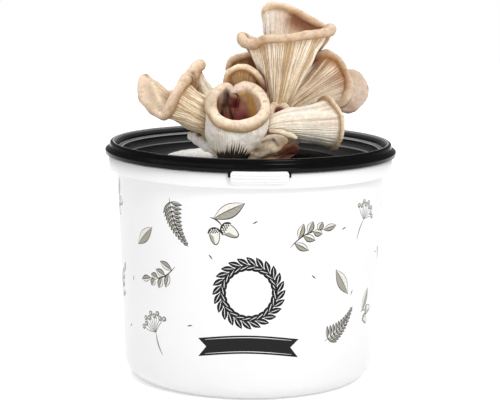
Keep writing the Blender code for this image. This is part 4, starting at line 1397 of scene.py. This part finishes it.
def fruit_shape(fruit):
    """One fruiting body with its forked gills, its rolled lip and its inside or cap."""
    rows = [tuple(row) + (fruit.lip,) * (4 - len(row)) for row in fruit.rim]
    curve, length = closed_curve(rows)
    gills = 4 * max(4, round(length[-1] / fruit.spacing / 4))
    around = gills * GILL_STEPS
    seed = sum(map(ord, fruit.name))
    places = np.linspace(0, length[-1], around, endpoint=False)
    outline = np.stack([np.interp(places, length, column) for column in curve.T], axis=1)
    grid, zones = fruit_rings(fruit, outline[:, :3], outline[:, 3:])
    zone, share = zones.T
    gill_share = np.where(zone == 1, share, 0)
    ridges = gill_ridges(around, gills, gill_share, seed)
    depth = fruit.relief * GILL_DEPTH * (0.35 + 0.65 * smooth_step(gill_share, 0.1, 0.6))
    depth = depth * (1 - smooth_step(gill_share, 0.93, 1.0)) * (zone == 1)
    depth = depth + np.where(zone == 0, 0.15, 0)
    tip = smooth_step(1 - share, 0, 0.2) * (zone == 3) + (zone < 3)
    uneven = waves(grid, 22, seed) * 0.45 + waves(grid, 7, seed + 1) * 0.16
    lip_lumps = waves(grid, 3.5, seed + 2) * 0.10 * (zone >= 2)[:, None]
    height = ridges * depth[:, None] + (uneven + lip_lumps) * tip[:, None]
    colours = fruit_colours(fruit, grid, zones, ridges)
    grid = grid + outward_normals(grid) * height[..., None]
    return {"node": fruit.name, "grid": grid, "colours": colours, "slot": fruit.name + "_flesh"}


def finger_shape(name, path, radii, lumpiness, base):
    """A slender bud: a lumpy tapered rod along a path of points."""
    points = np.array(path, float)
    steps = np.linspace(0, len(points) - 1, ROD_RINGS)
    middles = np.stack([np.interp(steps, range(len(points)), points[:, k]) for k in range(3)], axis=1)
    widths = np.interp(steps, range(len(points)), radii)
    widths = widths * np.sqrt(1 - np.clip((steps - steps[-1] + 0.6) / 0.6, 0, 1) ** 3 * 0.9)
    turns = full_turn(BUD_SIDES)
    rings = []
    for i, width in enumerate(widths):
        direction = unit(middles[min(i + 1, len(middles) - 1)] - middles[max(i - 1, 0)])
        first = unit(np.cross(direction, (0, 1, 0.2)))
        second = np.cross(direction, first)
        ring = np.cos(turns)[:, None] * first + np.sin(turns)[:, None] * second
        rings.append(middles[i] + ring * width)
    grid = np.array(rings)
    lumps = waves(grid, 6, 41) * lumpiness
    grid = grid + (grid - middles[:, None]) * (lumps / widths[:, None])[..., None] * 0.8
    colours = mix(base, TAN, smooth_step(waves(grid, 5, 43), 0.6, 1.8) * 0.5)
    return {"node": name, "grid": grid, "colours": colours, "slot": name + "_pale"}


def add_camera():
    """The photograph's viewpoint."""
    data = bpy.data.cameras.new("camera")
    data.lens = CAMERA_LENS
    data.sensor_width = CAMERA_SENSOR
    camera = add_object("camera", data)
    tilt = Matrix.Rotation(CAMERA_TILT, 4, "X")
    roll = Matrix.Rotation(CAMERA_ROLL, 4, "Z")
    camera.matrix_world = Matrix.Translation(CAMERA_PLACE) @ tilt @ roll
    bpy.context.scene.camera = camera


def add_light(name, kind, direction, power):
    """A light that shines along a direction."""
    data = bpy.data.lights.new(name, kind)
    data.energy = power
    light = add_object(name, data)
    light.rotation_euler = Vector(direction).to_track_quat("-Z", "Y").to_euler()
    return light


def add_area_light(name, place, target, size, power):
    """A soft square light that looks at a target."""
    light = add_light(name, "AREA", Vector(target) - Vector(place), power)
    light.location = place
    light.data.size = size
    return light


def add_world():
    """A white backdrop. In reflections it is bright near the horizon and dark above."""
    world = bpy.data.worlds.new("studio")
    world.use_nodes = True
    tree = world.node_tree
    background = tree.nodes["Background"]
    background.inputs["Color"].default_value = (1.0, 1.0, 1.0, 1.0)
    rays = add_node(tree, "LightPath", {})
    place = add_node(tree, "TexCoord", {})
    axes = add_node(tree, "SeparateXYZ", {"Vector": place.outputs["Generated"]})
    height = map_range(tree, axes.outputs["Z"], HORIZON_GLOSSY, ZENITH_GLOSSY, HORIZON_TOP)
    glossy = map_range(tree, rays.outputs["Is Glossy Ray"], WORLD_DIFFUSE, height)
    seen = add_node(tree, "Math", {0: rays.outputs["Is Camera Ray"], 1: glossy})
    seen.operation = "MAXIMUM"
    tree.links.new(seen.outputs["Value"], background.inputs["Strength"])
    bpy.context.scene.world = world


def add_studio():
    """A pale floor, a pale world and soft lights."""
    data = bpy.data.meshes.new("floor")
    corners = [(x * FLOOR_HALF, y * FLOOR_HALF, 0) for x, y in ((-1, -1), (1, -1), (1, 1), (-1, 1))]
    data.from_pydata(corners, [], [(0, 1, 2, 3)])
    floor = add_object("floor", data)
    look, _, shader = new_material("pale_floor", roughness=0.9)
    shader.inputs["Base Color"].default_value = (0.93, 0.93, 0.93, 1.0)
    shader.inputs["Emission Color"].default_value = (1.0, 1.0, 1.0, 1.0)
    shader.inputs["Emission Strength"].default_value = FLOOR_GLOW
    data.materials.append(look)
    add_world()
    bpy.context.scene.view_settings.view_transform = "Standard"
    sun = add_light("overhead", "SUN", (0.15, -0.25, -1.0), SUN_STRENGTH)
    sun.data.angle = SUN_SPREAD
    sun.visible_glossy = False
    add_area_light("key", (0.6, -1.2, 1.1), (0, 0, 0.2), size=0.5, power=11)
    fill = add_area_light("fill", (-0.3, -1.5, 0.22), (0, 0, 0.2), size=0.6, power=2.7)
    fill.visible_glossy = False
    strip = add_area_light("strip", (-0.42, 0.40, 1.43), (0, 0, 0.18), size=0.3, power=6)
    strip.data.shape = "RECTANGLE"
    strip.data.size_y = 0.9
    strip.visible_diffuse = False


def main():
    """Builds the whole scene."""
    add_camera()
    add_studio()
    add_bucket(bucket_material())
    add_lid(lid_material())
    add_substrate(substrate_material())
    add_cluster(flesh_material())
    bpy.context.view_layer.update()


main()
